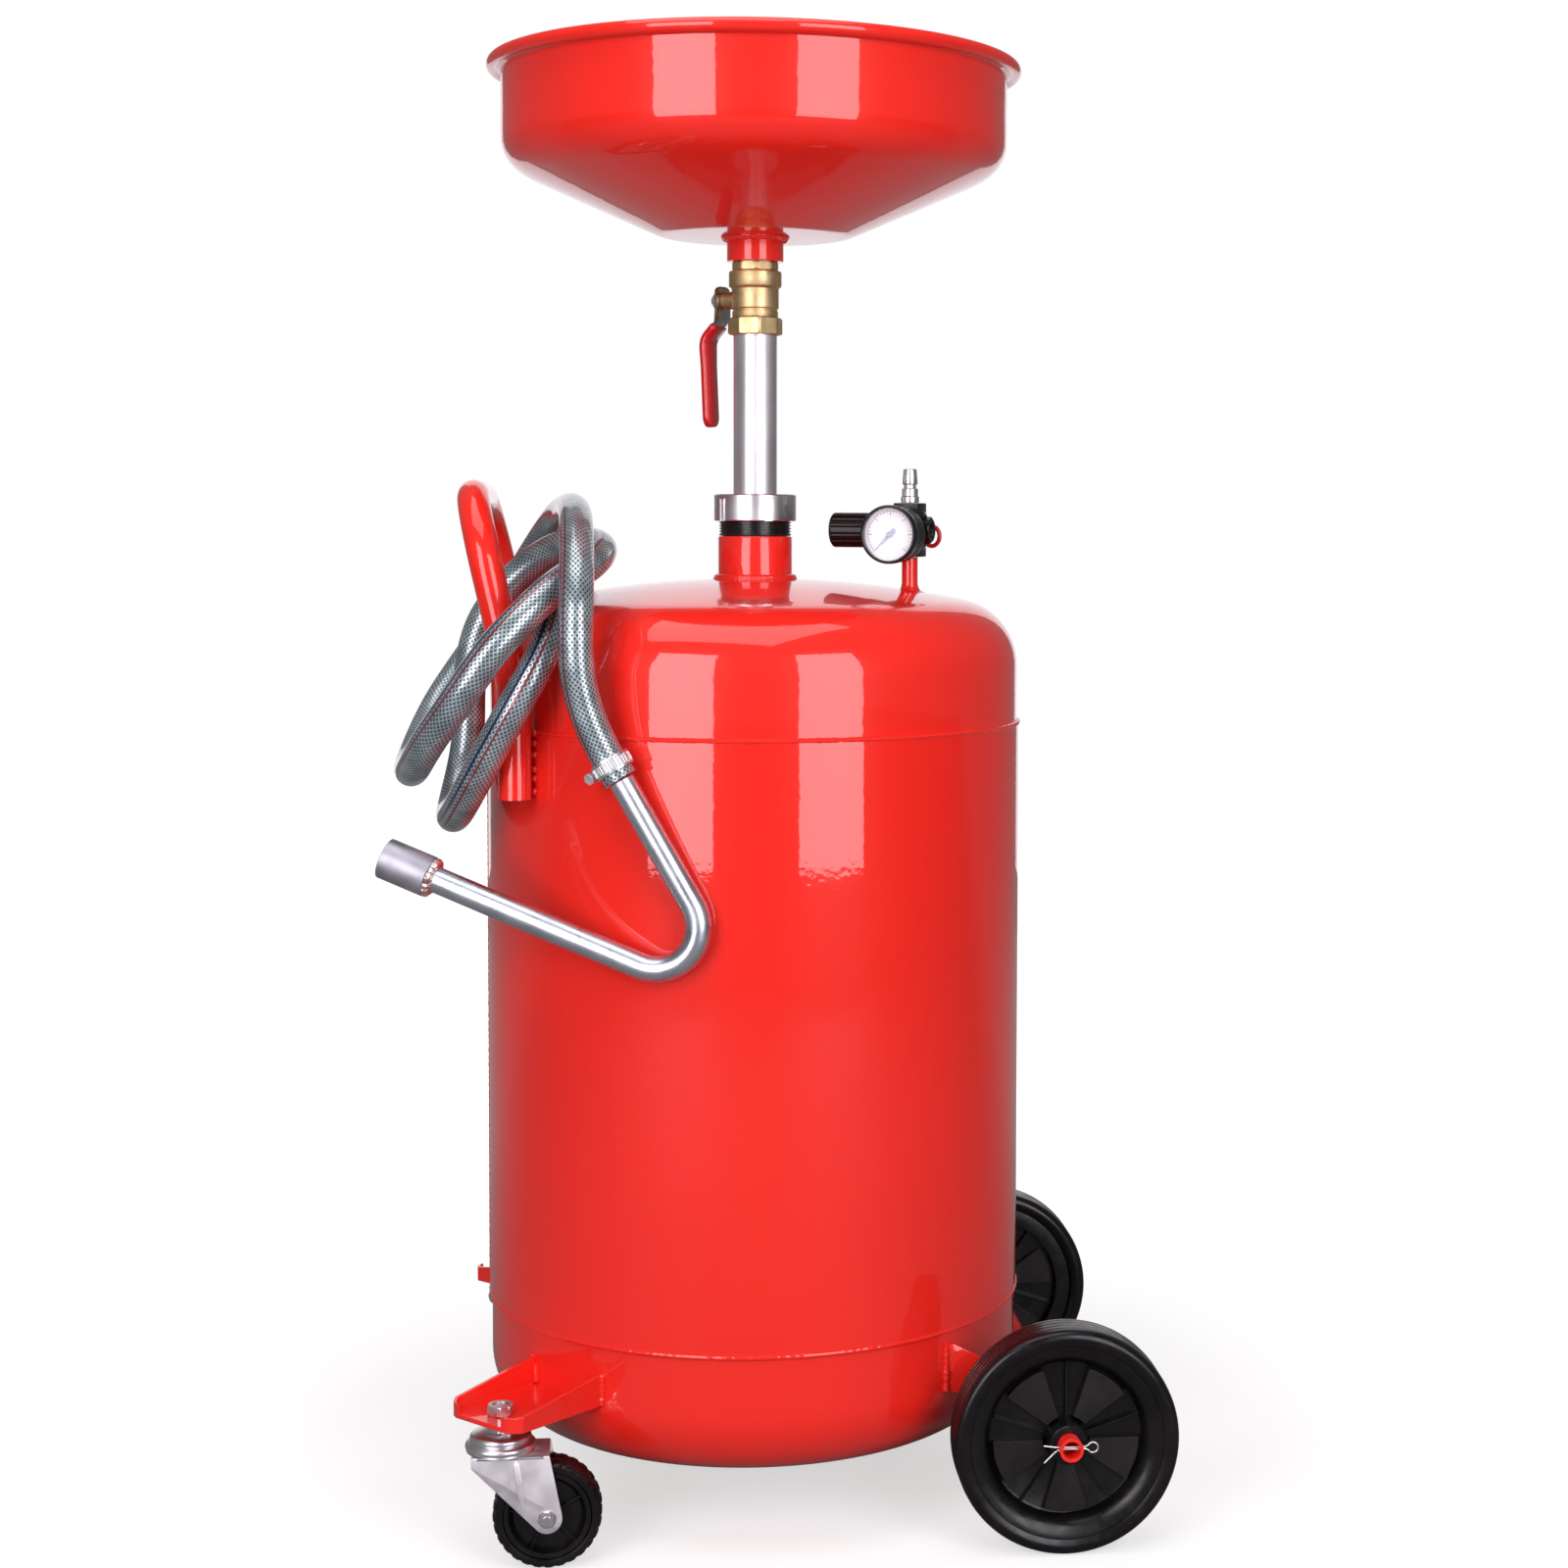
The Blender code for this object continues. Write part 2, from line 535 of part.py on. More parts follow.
def make_rear_axle(root, sides):
    axle = put("rear_axle", tube(AXLE_R, 0.0060, -AXLE_HALF, AXLE_HALF, 16), "red_enamel", root,
               Matrix.Translation((WHEEL_X, 0, WHEEL_R)) @ turn_x(90))
    for side, sign in sides:
        axle_arm(f"axle_arm_{side}", sign * ARM_Y, root)
        at = Matrix.Translation((WHEEL_X, sign * PIN_Y, WHEEL_R))
        combine(axle, helper(f"pin_hole_{side}", cylinder(0.0019, -0.02, 0.02, 10), root, at @ turn_y(90)))
        put(f"split_pin_{side}", swept(split_pin_path(), 0.0013), "steel", root, at)


def make_rear_wheel(side, parent):
    """Turned around the axle; the local Z axis points outward."""
    rim = [(0.0092, -0.0160), (0.0138, -0.0160), (0.0138, -0.0040), (0.0550, -0.0040),
           (0.0550, -0.0130), (WHEEL_RIM_R, -0.0130), (WHEEL_RIM_R, 0.0145), (0.0550, 0.0145),
           (0.0550, 0.0035), (0.0138, 0.0035), (0.0138, 0.0205), (0.0092, 0.0205)]
    put(f"rear_wheel_{side}", turned(rim), "black_plastic", parent)
    tread = [(WHEEL_RIM_R + 0.0005, -0.0165), (0.0745, -0.0180), (0.0785, -0.0155), (WHEEL_R, -0.0115),
             (WHEEL_R, 0.0115), (0.0785, 0.0155), (0.0745, 0.0180), (WHEEL_RIM_R + 0.0005, 0.0165)]
    put(f"rear_tyre_{side}", turned(tread, 36), "black_rubber", parent)


# ---------------------------------------------------------------- regulator and gauge
def make_regulator(frame, knob_axis, needle_axis, pull_axis):
    """Heights are from the frame's origin, the centre of the cross-shaped body."""
    z0 = REGULATOR.z
    put("regulator_riser", tube(0.00605, 0.0040, 0.655 - z0, 0.6982 - z0, 16), "red_enamel", frame)
    body = put("regulator_body", box((-0.010, -0.010, 0.6985 - z0), (0.010, 0.010, 0.739 - z0)),
               "black_plastic", frame)
    along = turn_y(-90)    # local Z of the shape onto the frame's -X
    shapes = (("bonnet", turned([(0, -0.0175), (0.0105, -0.0175), (0.0105, -0.0120), (0.0155, -0.0120),
                                 (0.0155, 0.0280), (0, 0.0280)], 20, closed=False), along),
              ("gauge_boss", cylinder(0.0085, 0.005, 0.0195), turn_x(90)))
    for name, shape, place in shapes:
        combine(body, helper(name, shape, frame, place), "UNION")

    ribs = [(r * math.cos(math.radians(a)), r * math.sin(math.radians(a)))
            for a, r in ((7.5 * i, 0.0132 if i % 4 < 2 else 0.0124) for i in range(48))]
    knob = prism(ribs, 0.0285, 0.0615)
    put("regulator_knob", knob, "black_plastic", knob_axis)

    case = [(0, 0.0198), (0.0055, 0.0198), (0.0055, 0.0245), (0.0205, 0.0245), (0.0217, 0.0257),
            (0.0217, 0.0515), (0.0181, 0.0515), (0.0181, 0.0511), (0.0190, 0.0511),
            (0.0190, 0.0450), (0, 0.0450)]
    gauge_at = Matrix.Translation((0, 0, -0.003)) @ turn_x(90)
    put("gauge_case", turned(case, closed=False), "black_plastic", frame, gauge_at)
    put("gauge_lens", cylinder(0.0186, 0.0493, 0.0508, 24), "clear_lens", frame, gauge_at)
    pointer = [(0.0, -0.0016), (0.0135, -0.0004), (0.0135, 0.0004), (0.0, 0.0016), (-0.0045, 0.0012),
               (-0.0045, -0.0012)]
    put("gauge_needle", prism(pointer, 0.0462, 0.0472), "white_dial", needle_axis)

    plug = [(0.0030, 0.7393), (0.0069, 0.7393), (0.0069, 0.7440), (0.0061, 0.7445), (0.0061, 0.7496),
            (0.0046, 0.7505), (0.0046, 0.7525), (0.0058, 0.7533), (0.0050, 0.7640), (0.0046, 0.7645),
            (0.0030, 0.7645)]
    put("air_plug", turned([(r, z - z0) for r, z in plug], 16), "steel", frame)

    nozzle = Matrix.Translation((0.0045, 0, 0)) @ turn_x(-90)
    valve = [(0, 0.0158), (0.0055, 0.0158), (0.0055, 0.0240), (0.0024, 0.0240), (0.0024, 0.0180),
             (0, 0.0180)]
    put("relief_valve", turned(valve, 12, closed=False), "brass", frame, nozzle)
    pull = put("relief_pull", cylinder(0.0018, 0.0200, 0.0290, 10), "red_vinyl", pull_axis)
    ring = [(0.0075 + x, y) for x, y in polygon(0.0012, 8)]
    at = Matrix.Translation((0, 0, 0.0360)) @ turn_y(90)
    combine(pull, helper("pull_ring", turned(ring, 20), pull_axis, at), "UNION")


# ---------------------------------------------------------------- oil outlet, hose and wand
def make_outlet(parent):
    """An elbow on the head whose dip tube reaches the tank's floor."""
    at = Matrix.Translation(OUTLET)
    elbow = put("outlet_elbow", cylinder(0.0100, 0.6705 - OUTLET.z, 0.0110, 20), "brass", parent, at)
    arm = cylinder(0.0095, 0.0, OUTLET.y - 0.048 - GAP, 20)
    combine(elbow, helper("elbow_arm", arm, parent, at @ turn_x(90)), "UNION")
    put("dip_tube", tube(0.0075, 0.0060, 0.060, 0.6700, 16), "steel", parent,
        Matrix.Translation((OUTLET.x, OUTLET.y, 0)))


def smooth_curve(points, count):
    """Evenly spread points on the natural cubic spline through the given ones."""
    size = len(points)
    knots = [0.0]
    for one, two in zip(points, points[1:]):
        knots.append(knots[-1] + (two - one).length ** 0.5)
    steps = [b - a for a, b in zip(knots, knots[1:])]
    bends = [Vector((0, 0, 0))] * size
    ratio, right = [0.0] * size, [Vector((0, 0, 0))] * size
    for i in range(1, size - 1):
        pull = 6 * ((points[i + 1] - points[i]) / steps[i] - (points[i] - points[i - 1]) / steps[i - 1])
        weight = 2 * (steps[i - 1] + steps[i]) - steps[i - 1] * ratio[i - 1]
        ratio[i] = steps[i] / weight
        right[i] = (pull - steps[i - 1] * right[i - 1]) / weight
    for i in range(size - 2, 0, -1):
        bends[i] = right[i] - ratio[i] * bends[i + 1]
    fine = []
    for i, step in enumerate(steps):
        for k in range(20):
            b = k / 20
            a = 1 - b
            bend = (a ** 3 - a) * bends[i] + (b ** 3 - b) * bends[i + 1]
            fine.append(a * points[i] + b * points[i + 1] + bend * step ** 2 / 6)
    fine.append(points[-1])
    return spread_evenly(fine, count)


def spread_evenly(points, count):
    reach = [0.0]
    for one, two in zip(points, points[1:]):
        reach.append(reach[-1] + (two - one).length)
    picked, i = [], 0
    for k in range(count):
        wanted = reach[-1] * k / (count - 1)
        while i < len(points) - 2 and reach[i + 1] < wanted:
            i += 1
        share = (wanted - reach[i]) / (reach[i + 1] - reach[i])
        picked.append(points[i].lerp(points[i + 1], share))
    return picked


def make_hose(parent):
    route = [Vector(p) / 1000 for p in HOSE_ROUTE_MM]
    curve = bpy.data.curves.new("hose", "CURVE")
    curve.dimensions = "3D"
    curve.bevel_depth = HOSE_R
    curve.bevel_resolution = 2
    curve.use_fill_caps = True
    line = curve.splines.new("POLY")
    line.points.add(HOSE_POINTS - 1)
    for point, place in zip(line.points, smooth_curve(route, HOSE_POINTS)):
        point.co = (*place, 1.0)
    hose = bpy.data.objects.new("hose", curve)
    bpy.context.collection.objects.link(hose)
    hose.parent = parent
    curve.materials.append(finish("braided_hose", "hose"))


def wand_path():
    """The wand in its own upright plane: down from the hose, round the bend and away to -X."""
    down = Vector((0.519, 0, -0.855)).normalized()
    tail = Vector((-0.932, 0, 0.363)).normalized()
    begin = math.degrees(math.atan2(-down.x, down.z)) + 180
    end = math.degrees(math.atan2(-tail.x, tail.z)) - 180
    bend = arc((WAND_BEND.x, WAND_BEND.z), WAND_BEND_R, begin, end, 9)
    bend = [Vector((x, 0, z)) for x, z in bend]
    return [WAND_HEAD + down * 0.0006] + bend + [bend[-1] + tail * WAND_TAIL], down, tail


def make_wand(frame):
    path, down, tail = wand_path()
    put("wand_tube", swept(path, WAND_R, WAND_R - 0.0016, 12), "steel", frame)
    at = Matrix.Translation(path[-1]) @ tail.to_track_quat("Z", "Y").to_matrix().to_4x4()
    put("wand_socket", tube(0.0145, 0.0095, GAP, 0.0350, 20), "zinc", frame, at)
    at = Matrix.Translation(WAND_HEAD - down * 0.012) @ down.to_track_quat("Z", "Y").to_matrix().to_4x4()
    clamp = put("hose_clamp", tube(0.0142, 0.0130, -0.006, 0.006, 20), "steel", frame, at)
    screw = box((0.0132, -0.008, -0.0045), (0.0210, 0.008, 0.0045))
    combine(clamp, helper("clamp_screw", screw, frame, at @ turn_z(-60)), "UNION")


# ---------------------------------------------------------------- the whole
def main():
    clear_scene()
    root = axis_empty("tank_axis", (TANK_X, 0, 0))
    nut_axis = axis_empty("lock_nut_axis", parent=root)
    slide = axis_empty("pipe_slide_axis", parent=root)
    swivel = axis_empty("pipe_swivel_axis", parent=slide)
    lever_axis = axis_empty("valve_lever_axis", turn=stem_place(), parent=swivel)

    make_tank(root)
    make_pipe_guide(root, nut_axis)
    make_pipe(slide, swivel)
    make_valve(swivel, lever_axis)
    make_bowl(swivel)
    make_handle(root)
    for side in ("near", "far"):
        make_caster(side, root)
    sides = (("near", -1), ("far", 1))
    make_rear_axle(root, sides)
    for side, sign in sides:
        place = (WHEEL_X, sign * WHEEL_Y, WHEEL_R)
        make_rear_wheel(side, axis_empty(f"{side}_rear_wheel_axis", place, turn_x(-90 * sign), root))

    frame = axis_empty("regulator_frame", REGULATOR, Matrix.Rotation(REGULATOR_TURN, 4, "Z"), root)
    knob_axis = axis_empty("knob_axis", turn=turn_y(-90), parent=frame)
    needle_axis = axis_empty("needle_axis", (0, 0, -0.003), turn_x(90) @ turn_z(225), frame)
    pull_axis = axis_empty("relief_pull_axis", (0.0045, 0, 0), turn_x(-90), frame)
    make_regulator(frame, knob_axis, needle_axis, pull_axis)

    make_outlet(root)
    make_hose(root)
    outward = Matrix.Rotation(WAND_TURN, 4, "Z") @ Vector((0, -WAND_OUT, 0))
    make_wand(axis_empty("wand_frame", outward, Matrix.Rotation(WAND_TURN, 4, "Z"), root))


main()
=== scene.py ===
import math

import bmesh
import bpy
from mathutils import Matrix, Vector, noise


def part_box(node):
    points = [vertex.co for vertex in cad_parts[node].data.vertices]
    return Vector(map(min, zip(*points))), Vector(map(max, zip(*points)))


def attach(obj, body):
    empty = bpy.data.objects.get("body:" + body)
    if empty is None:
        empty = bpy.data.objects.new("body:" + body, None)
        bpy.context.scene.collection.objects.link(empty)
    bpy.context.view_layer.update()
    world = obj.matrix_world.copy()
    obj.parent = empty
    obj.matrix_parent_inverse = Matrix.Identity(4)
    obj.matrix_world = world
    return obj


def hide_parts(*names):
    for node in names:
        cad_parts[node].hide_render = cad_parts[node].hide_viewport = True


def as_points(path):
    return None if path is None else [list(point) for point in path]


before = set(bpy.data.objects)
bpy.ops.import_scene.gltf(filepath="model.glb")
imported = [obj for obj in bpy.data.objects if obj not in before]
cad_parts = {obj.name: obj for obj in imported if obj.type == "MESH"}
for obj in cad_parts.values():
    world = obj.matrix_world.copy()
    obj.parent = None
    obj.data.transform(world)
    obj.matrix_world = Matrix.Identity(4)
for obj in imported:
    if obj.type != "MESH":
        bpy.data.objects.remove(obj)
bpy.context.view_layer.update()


# ---------------------------------------------------------------- places read from the frame
def middle(node):
    low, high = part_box(node)
    return (low + high) / 2


def turn(degrees, axis):
    return Matrix.Rotation(math.radians(degrees), 4, axis)


def at(x, y, z):
    return Matrix.Translation((x, y, z))


TANK = Vector((middle("tank_barrel").x, 0.0, 0.0))
ON_AXIS = Matrix.Translation(TANK)
HEAD_R = 0.1985
KNUCKLE_R = 0.050
CROWN_R = 0.800
HEAD_SKIRT = 0.0423
SEAM_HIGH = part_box("tank_top_head")[0].z
SEAM_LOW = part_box("tank_bottom_head")[1].z
SHELL_R = 0.200
PIPE_R = (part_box("drain_pipe")[1].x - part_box("drain_pipe")[0].x) / 2
HOSE_R = 0.012
WAND_R = 0.0092
REGULATOR = Vector((TANK.x + 0.1155, -0.020, 0.7185))
VALVE_Z = middle("valve_ball").z
FACING = -93.1  # azimuth from the tank towards the camera, in degrees
CASTER_REACH = 0.258  # from the tank's axis to a caster's swivel axis
CASTER_HUB = (0.032, 0.0377)  # a caster's axle from its swivel axis, as (trail, height)
FORK_TOP = 0.0820
REAR_HUB = (0.2085, 0.080)  # the rear axle from the tank's axis, as (distance back, height)
REAR_TRACK = 0.191  # from the tank's axis sideways to a rear wheel's middle


# ---------------------------------------------------------------- camera, floor and light
def add(name, data):
    made = bpy.data.objects.new(name, data)
    bpy.context.scene.collection.objects.link(made)
    return made


def set_camera():
    pitch, roll = math.radians(2.937), 0.226
    data = bpy.data.cameras.new("camera")
    data.sensor_width = 36.0
    data.lens = 61.11
    data.shift_x = -0.0981
    data.shift_y = -0.0810
    data.clip_start = 0.05
    camera = add("camera", data)
    heading = Vector((0.1222, 0.9925, -math.tan(pitch)))
    look = heading.to_track_quat("-Z", "Y").to_matrix().to_4x4()
    camera.matrix_world = at(TANK.x - 0.1088, -2.0175, 0.726) @ look @ turn(roll, "Z")
    bpy.context.scene.camera = camera


def softbox(name, place, target, width, height, power, tint=(1.0, 1.0, 1.0)):
    """An area light that faces the target, out of the camera's sight."""
    data = bpy.data.lights.new(name, "AREA")
    data.shape = "RECTANGLE"
    data.size, data.size_y = width, height
    data.energy = power
    data.color = tint
    light = add(name, data)
    light.visible_camera = False
    facing = (target - place).to_track_quat("-Z", "Y").to_matrix().to_4x4()
    light.matrix_world = Matrix.Translation(place) @ facing


def upright(name, azimuth, distance, low, high, width, power):
    """An upright softbox round the tank, from low to high over the floor."""
    target = TANK + Vector((0, 0, (low + high) / 2))
    angle = math.radians(azimuth)
    place = target + Vector((math.cos(angle) * distance, math.sin(angle) * distance, 0))
    softbox(name, place, target, width, high - low, power, (1.0, 0.96, 1.0))


class Nodes:
    """Adds nodes to a world's or a material's tree. A value is a plain value or another node's socket."""

    def __init__(self, owner):
        owner.use_nodes = True
        self.nodes, self.links = owner.node_tree.nodes, owner.node_tree.links

    def feed(self, socket, value):
        if isinstance(value, bpy.types.NodeSocket):
            self.links.new(value, socket)
        else:
            socket.default_value = value

    def node(self, kind, **inputs):
        made = self.nodes.new(kind)
        for key, value in inputs.items():
            self.feed(made.inputs[key.replace("_", " ")], value)
        return made

    def math(self, operation, one, two=0.0):
        made = self.node("ShaderNodeMath")
        made.operation = operation
        self.feed(made.inputs[0], one)
        self.feed(made.inputs[1], two)
        return made.outputs[0]

    def ramp(self, value, low, high, to_low=0.0, to_high=1.0, kind="SMOOTHSTEP"):
        made = self.node("ShaderNodeMapRange", Value=value, From_Min=low, From_Max=high,
                         To_Min=to_low, To_Max=to_high)
        made.interpolation_type = kind
        return made.outputs["Result"]

    def seen(self, otherwise, by_camera):
        """One value for the camera's own rays and another for all other rays."""
        path = self.node("ShaderNodeLightPath")
        return self.ramp(path.outputs["Is Camera Ray"], 0, 1, otherwise, by_camera, "LINEAR")


def set_world():
    world = bpy.data.worlds.new("studio")
    tree = Nodes(world)
    background = tree.nodes["Background"]
    background.inputs["Color"].default_value = (1.0, 1.0, 1.0, 1.0)
    tree.feed(background.inputs["Strength"], tree.seen(0.17, 1.0))
    bpy.context.scene.world = world
    bpy.context.scene.view_settings.view_transform = "Standard"


def make_floor():
    """A floor that glows for the camera, less near the object, and far behind it a little for all."""
    bm = bmesh.new()
    bmesh.ops.create_grid(bm, x_segments=4, y_segments=4, size=9.0)
    mesh = bpy.data.meshes.new("floor")
    bm.to_mesh(mesh)
    bm.free()
    floor = add("floor", mesh)
    material = bpy.data.materials.new("floor")
    tree = Nodes(material)
    shader = tree.nodes["Principled BSDF"]
    shader.inputs["Roughness"].default_value = 0.9
    shader.inputs["Emission Color"].default_value = (1.0, 1.0, 1.0, 1.0)
    tree.feed(shader.inputs["Base Color"], tree.seen(0.22, 0.50))
    where = tree.node("ShaderNodeNewGeometry").outputs["Position"]
    reach = tree.node("ShaderNodeVectorMath")
    reach.operation = "LENGTH"
    tree.feed(reach.inputs[0], where)
    fade = tree.ramp(reach.outputs["Value"], 0.38, 1.15, 0.60, 1.0, "LINEAR")
    depth = tree.node("ShaderNodeSeparateXYZ", Vector=where).outputs["Y"]
    behind = tree.ramp(depth, 0.3, 1.0, 0.0, 0.12, "LINEAR")
    lit = tree.math("MAXIMUM", tree.seen(0.0, 1.0), behind)
    tree.feed(shader.inputs["Emission Strength"], tree.math("MULTIPLY", fade, lit))
    mesh.materials.append(material)


set_camera()
set_world()
make_floor()
upright("softbox_left", FACING - 30, 2.3, 0.20, 2.1, 1.10, 37)
upright("softbox_right", FACING + 31, 2.3, 0.20, 2.1, 1.10, 34)
softbox("softbox_top", Vector((-0.3, -0.5, 3.0)), TANK + Vector((0, 0, 0.7)), 2.2, 2.2, 34)
upright("backdrop", FACING + 180, 2.6, 0.1, 2.9, 2.4, 18)


# ---------------------------------------------------------------- materials
class Finish(Nodes):
    """One procedural material: a Principled shader with noise-driven colour, roughness and bump."""

    def __init__(self, name, colour, roughness, metallic=0.0, coat=0.0, coat_roughness=0.03):
        self.material = bpy.data.materials.new(name)
        super().__init__(self.material)
        self.shader = self.nodes["Principled BSDF"]
        self.set("Base Color", (*colour, 1.0))
        self.set("Roughness", roughness)
        self.set("Metallic", metallic)
        self.set("Coat Weight", coat)
        self.set("Coat Roughness", coat_roughness)
        self.place = self.node("ShaderNodeTexCoord").outputs["Object"]
        self.height = None

    def set(self, name, value):
        self.feed(self.shader.inputs[name], value)

    def noise(self, scale, detail=2.0, stretch=(1, 1, 1)):
        mapped = self.node("ShaderNodeMapping", Vector=self.place, Scale=stretch)
        made = self.node("ShaderNodeTexNoise", Vector=mapped.outputs[0], Scale=scale,
                         Detail=detail, Roughness=0.5)
        return made.outputs["Fac"]

    def blend(self, share, one, two):
        """A colour between one and two, each an (r, g, b) or a socket."""
        made = self.node("ShaderNodeMix")
        made.data_type = "RGBA"
        self.feed(made.inputs["Factor"], share)
        for key, value in (("A", one), ("B", two)):
            self.feed(made.inputs[key], (*value, 1.0) if isinstance(value, tuple) else value)
        return made.outputs["Result"]

    def bump(self, socket, depth, strength=1.0):
        made = self.node("ShaderNodeBump", Height=socket, Strength=strength, Distance=depth)
        self.height = made.outputs["Normal"]
        self.set("Normal", self.height)


def enamel(name, colour=(0.87, 0.021, 0.013), peel=0.00002):
    f = Finish(name, colour, 0.30, coat=1.0, coat_roughness=0.03)
    f.set("Specular IOR Level", 0.12)
    tone = f.ramp(f.noise(3.5, 2.0), 0.2, 0.8)
    deep = tuple(c * 0.92 for c in colour)
    f.set("Base Color", f.blend(tone, deep, colour))
    f.set("Roughness", f.ramp(f.noise(14, 1.0), 0.1, 0.9, 0.27, 0.34))
    f.bump(f.noise(260, 1.0), peel)
    f.set("Coat Normal", f.height)
    return f.material


def metal(name, colour, roughness, spread=0.08, grain=0.00005, scale=350, stretch=(1, 1, 1),
          stain=None):
    f = Finish(name, colour, roughness, metallic=1.0)
    tone = f.ramp(f.noise(45, 2.0), 0.25, 0.75)
    f.set("Base Color", f.blend(tone, stain or tuple(c * 0.90 for c in colour), colour))
    worn = f.noise(scale / 5, 2.0, stretch)
    f.set("Roughness", f.ramp(worn, 0.3, 0.7, roughness - spread, roughness + spread))
    f.bump(f.noise(scale, 3.0, stretch), grain)
    return f.material


def plastic(name, colour, roughness, grain=0.000008, scale=500, dust=None, coat=0.0, shine=0.5):
    f = Finish(name, colour, roughness, coat=coat, coat_roughness=0.15)
    f.set("Specular IOR Level", shine)
    tone = f.ramp(f.noise(30, 4.0), 0.45, 0.75)
    f.set("Base Color", f.blend(tone, colour, dust or tuple(c * 1.5 + 0.002 for c in colour)))
    f.set("Roughness", f.ramp(f.noise(90, 3.0), 0.3, 0.7, roughness - 0.06, roughness + 0.08))
    f.bump(f.noise(scale, 2.0), grain)
    return f.material


def braid():
    """Pale threads under a clear skin, with two tracer lines. U goes round and V along, in turns."""
    f = Finish("clear_braided_pvc", (0.5, 0.5, 0.5), 0.32, coat=1.0, coat_roughness=0.05)
    uv = f.node("ShaderNodeUVMap")
    split = f.node("ShaderNodeSeparateXYZ", Vector=uv.outputs[0])
    round_it, along = split.outputs["X"], split.outputs["Y"]
    threads = 21

    def lay(slope):
        phase = f.math("ADD", f.math("MULTIPLY", round_it, threads),
                       f.math("MULTIPLY", along, slope * threads))
        return f.math("ABSOLUTE", f.math("SUBTRACT", f.math("FRACT", phase), 0.5))

    thread = f.ramp(f.math("MAXIMUM", lay(0.90), lay(-0.90)), 0.30, 0.38)
    cloud = f.ramp(f.noise(60, 3.0), 0.3, 0.7)
    gap_tone = f.blend(cloud, (0.020, 0.036, 0.040), (0.050, 0.080, 0.085))
    thread_tone = f.blend(cloud, (0.33, 0.40, 0.44), (0.58, 0.66, 0.71))
    body = f.blend(thread, gap_tone, thread_tone)
    turned = f.math("SUBTRACT", round_it, f.math("MULTIPLY", along, 0.0115))
    tracers = ((0.615, 0.014, (0.010, 0.018, 0.085)), (0.548, 0.010, (0.20, 0.006, 0.020)))
    for centre, half, tone in tracers:
        off = f.math("ABSOLUTE", f.math("SUBTRACT", turned, centre))
        body = f.blend(f.ramp(off, half * 0.8, half * 1.2, 1.0, 0.0), body, tone)
    f.set("Base Color", body)
    f.set("Roughness", f.ramp(thread, 0.0, 1.0, 0.45, 0.30))
    f.set("Metallic", f.ramp(thread, 0.0, 1.0, 0.0, 0.65))
    f.bump(thread, 0.00012, 0.6)
    return f.material


def lens():
    f = Finish("gauge_glass", (1.0, 1.0, 1.0), 0.02)
    f.set("Alpha", 0.07)
    f.set("Roughness", f.ramp(f.noise(60, 2.0), 0.3, 0.7, 0.01, 0.03))
    return f.material


def weld_metal():
    f = Finish("brazed_weld", (0.42, 0.30, 0.24), 0.35, metallic=1.0)
    heat = f.ramp(f.noise(180, 3.0), 0.35, 0.65)
    f.set("Base Color", f.blend(heat, (0.62, 0.42, 0.36), (0.90, 0.84, 0.82)))
    f.bump(f.noise(300, 2.0), 0.00008)
    return f.material


RED = enamel("red_enamel")
RED_WELD = enamel("red_enamel_on_weld", peel=0.00006)
ALUMINIUM = metal("satin_aluminium", (0.90, 0.87, 0.93), 0.40, stretch=(1, 1, 0.04), scale=500,
                  grain=0.00001)
CAST = metal("cast_aluminium", (0.80, 0.79, 0.82), 0.36, grain=0.00006, scale=160)
BRASS = metal("brass", (0.70, 0.52, 0.28), 0.46, grain=0.00004, scale=420, stain=(0.58, 0.42, 0.21))
ZINC = metal("zinc_plate", (0.70, 0.70, 0.72), 0.36, grain=0.000005, stain=(0.62, 0.62, 0.65))
PRESSED = metal("zinc_plated_sheet", (0.90, 0.88, 0.91), 0.52, grain=0.00001, stain=(0.80, 0.78, 0.81))
CHROME = metal("chrome", (0.80, 0.79, 0.83), 0.30, spread=0.04, grain=0.000003)
STEEL = metal("drawn_steel", (0.66, 0.70, 0.78), 0.31, spread=0.05, grain=0.000005,
              stain=(0.54, 0.57, 0.64))
GALVANISED = metal("galvanised_steel", (0.50, 0.49, 0.56), 0.52, grain=0.00002, scale=240,
                   stain=(0.40, 0.39, 0.45))
LEVER_STEEL = metal("lever_steel", (0.50, 0.46, 0.47), 0.24, grain=0.000005, stain=(0.42, 0.38, 0.39))
BLACK_IRON = plastic("black_thread", (0.014, 0.011, 0.010), 0.26, coat=0.5)
BLACK = plastic("black_plastic", (0.0030, 0.0025, 0.0030), 0.28, shine=0.35)
WEDGE = plastic("black_plastic_matt", (0.0075, 0.0055, 0.0055), 0.42, shine=0.35)
RUBBER = plastic("black_rubber", (0.0035, 0.0028, 0.0040), 0.25, dust=(0.0080, 0.0060, 0.0072),
                 shine=0.35)
VINYL = enamel("red_vinyl", colour=(0.56, 0.010, 0.012), peel=0.00004)
DIAL = plastic("dial_white", (0.96, 0.96, 0.98), 0.45, dust=(0.98, 0.98, 0.99))
INK = plastic("dial_ink", (0.16, 0.22, 0.42), 0.5)
NEEDLE = plastic("needle_blue", (0.36, 0.44, 0.66), 0.4)
WELD = weld_metal()
GLASS = lens()
HOSE = braid()


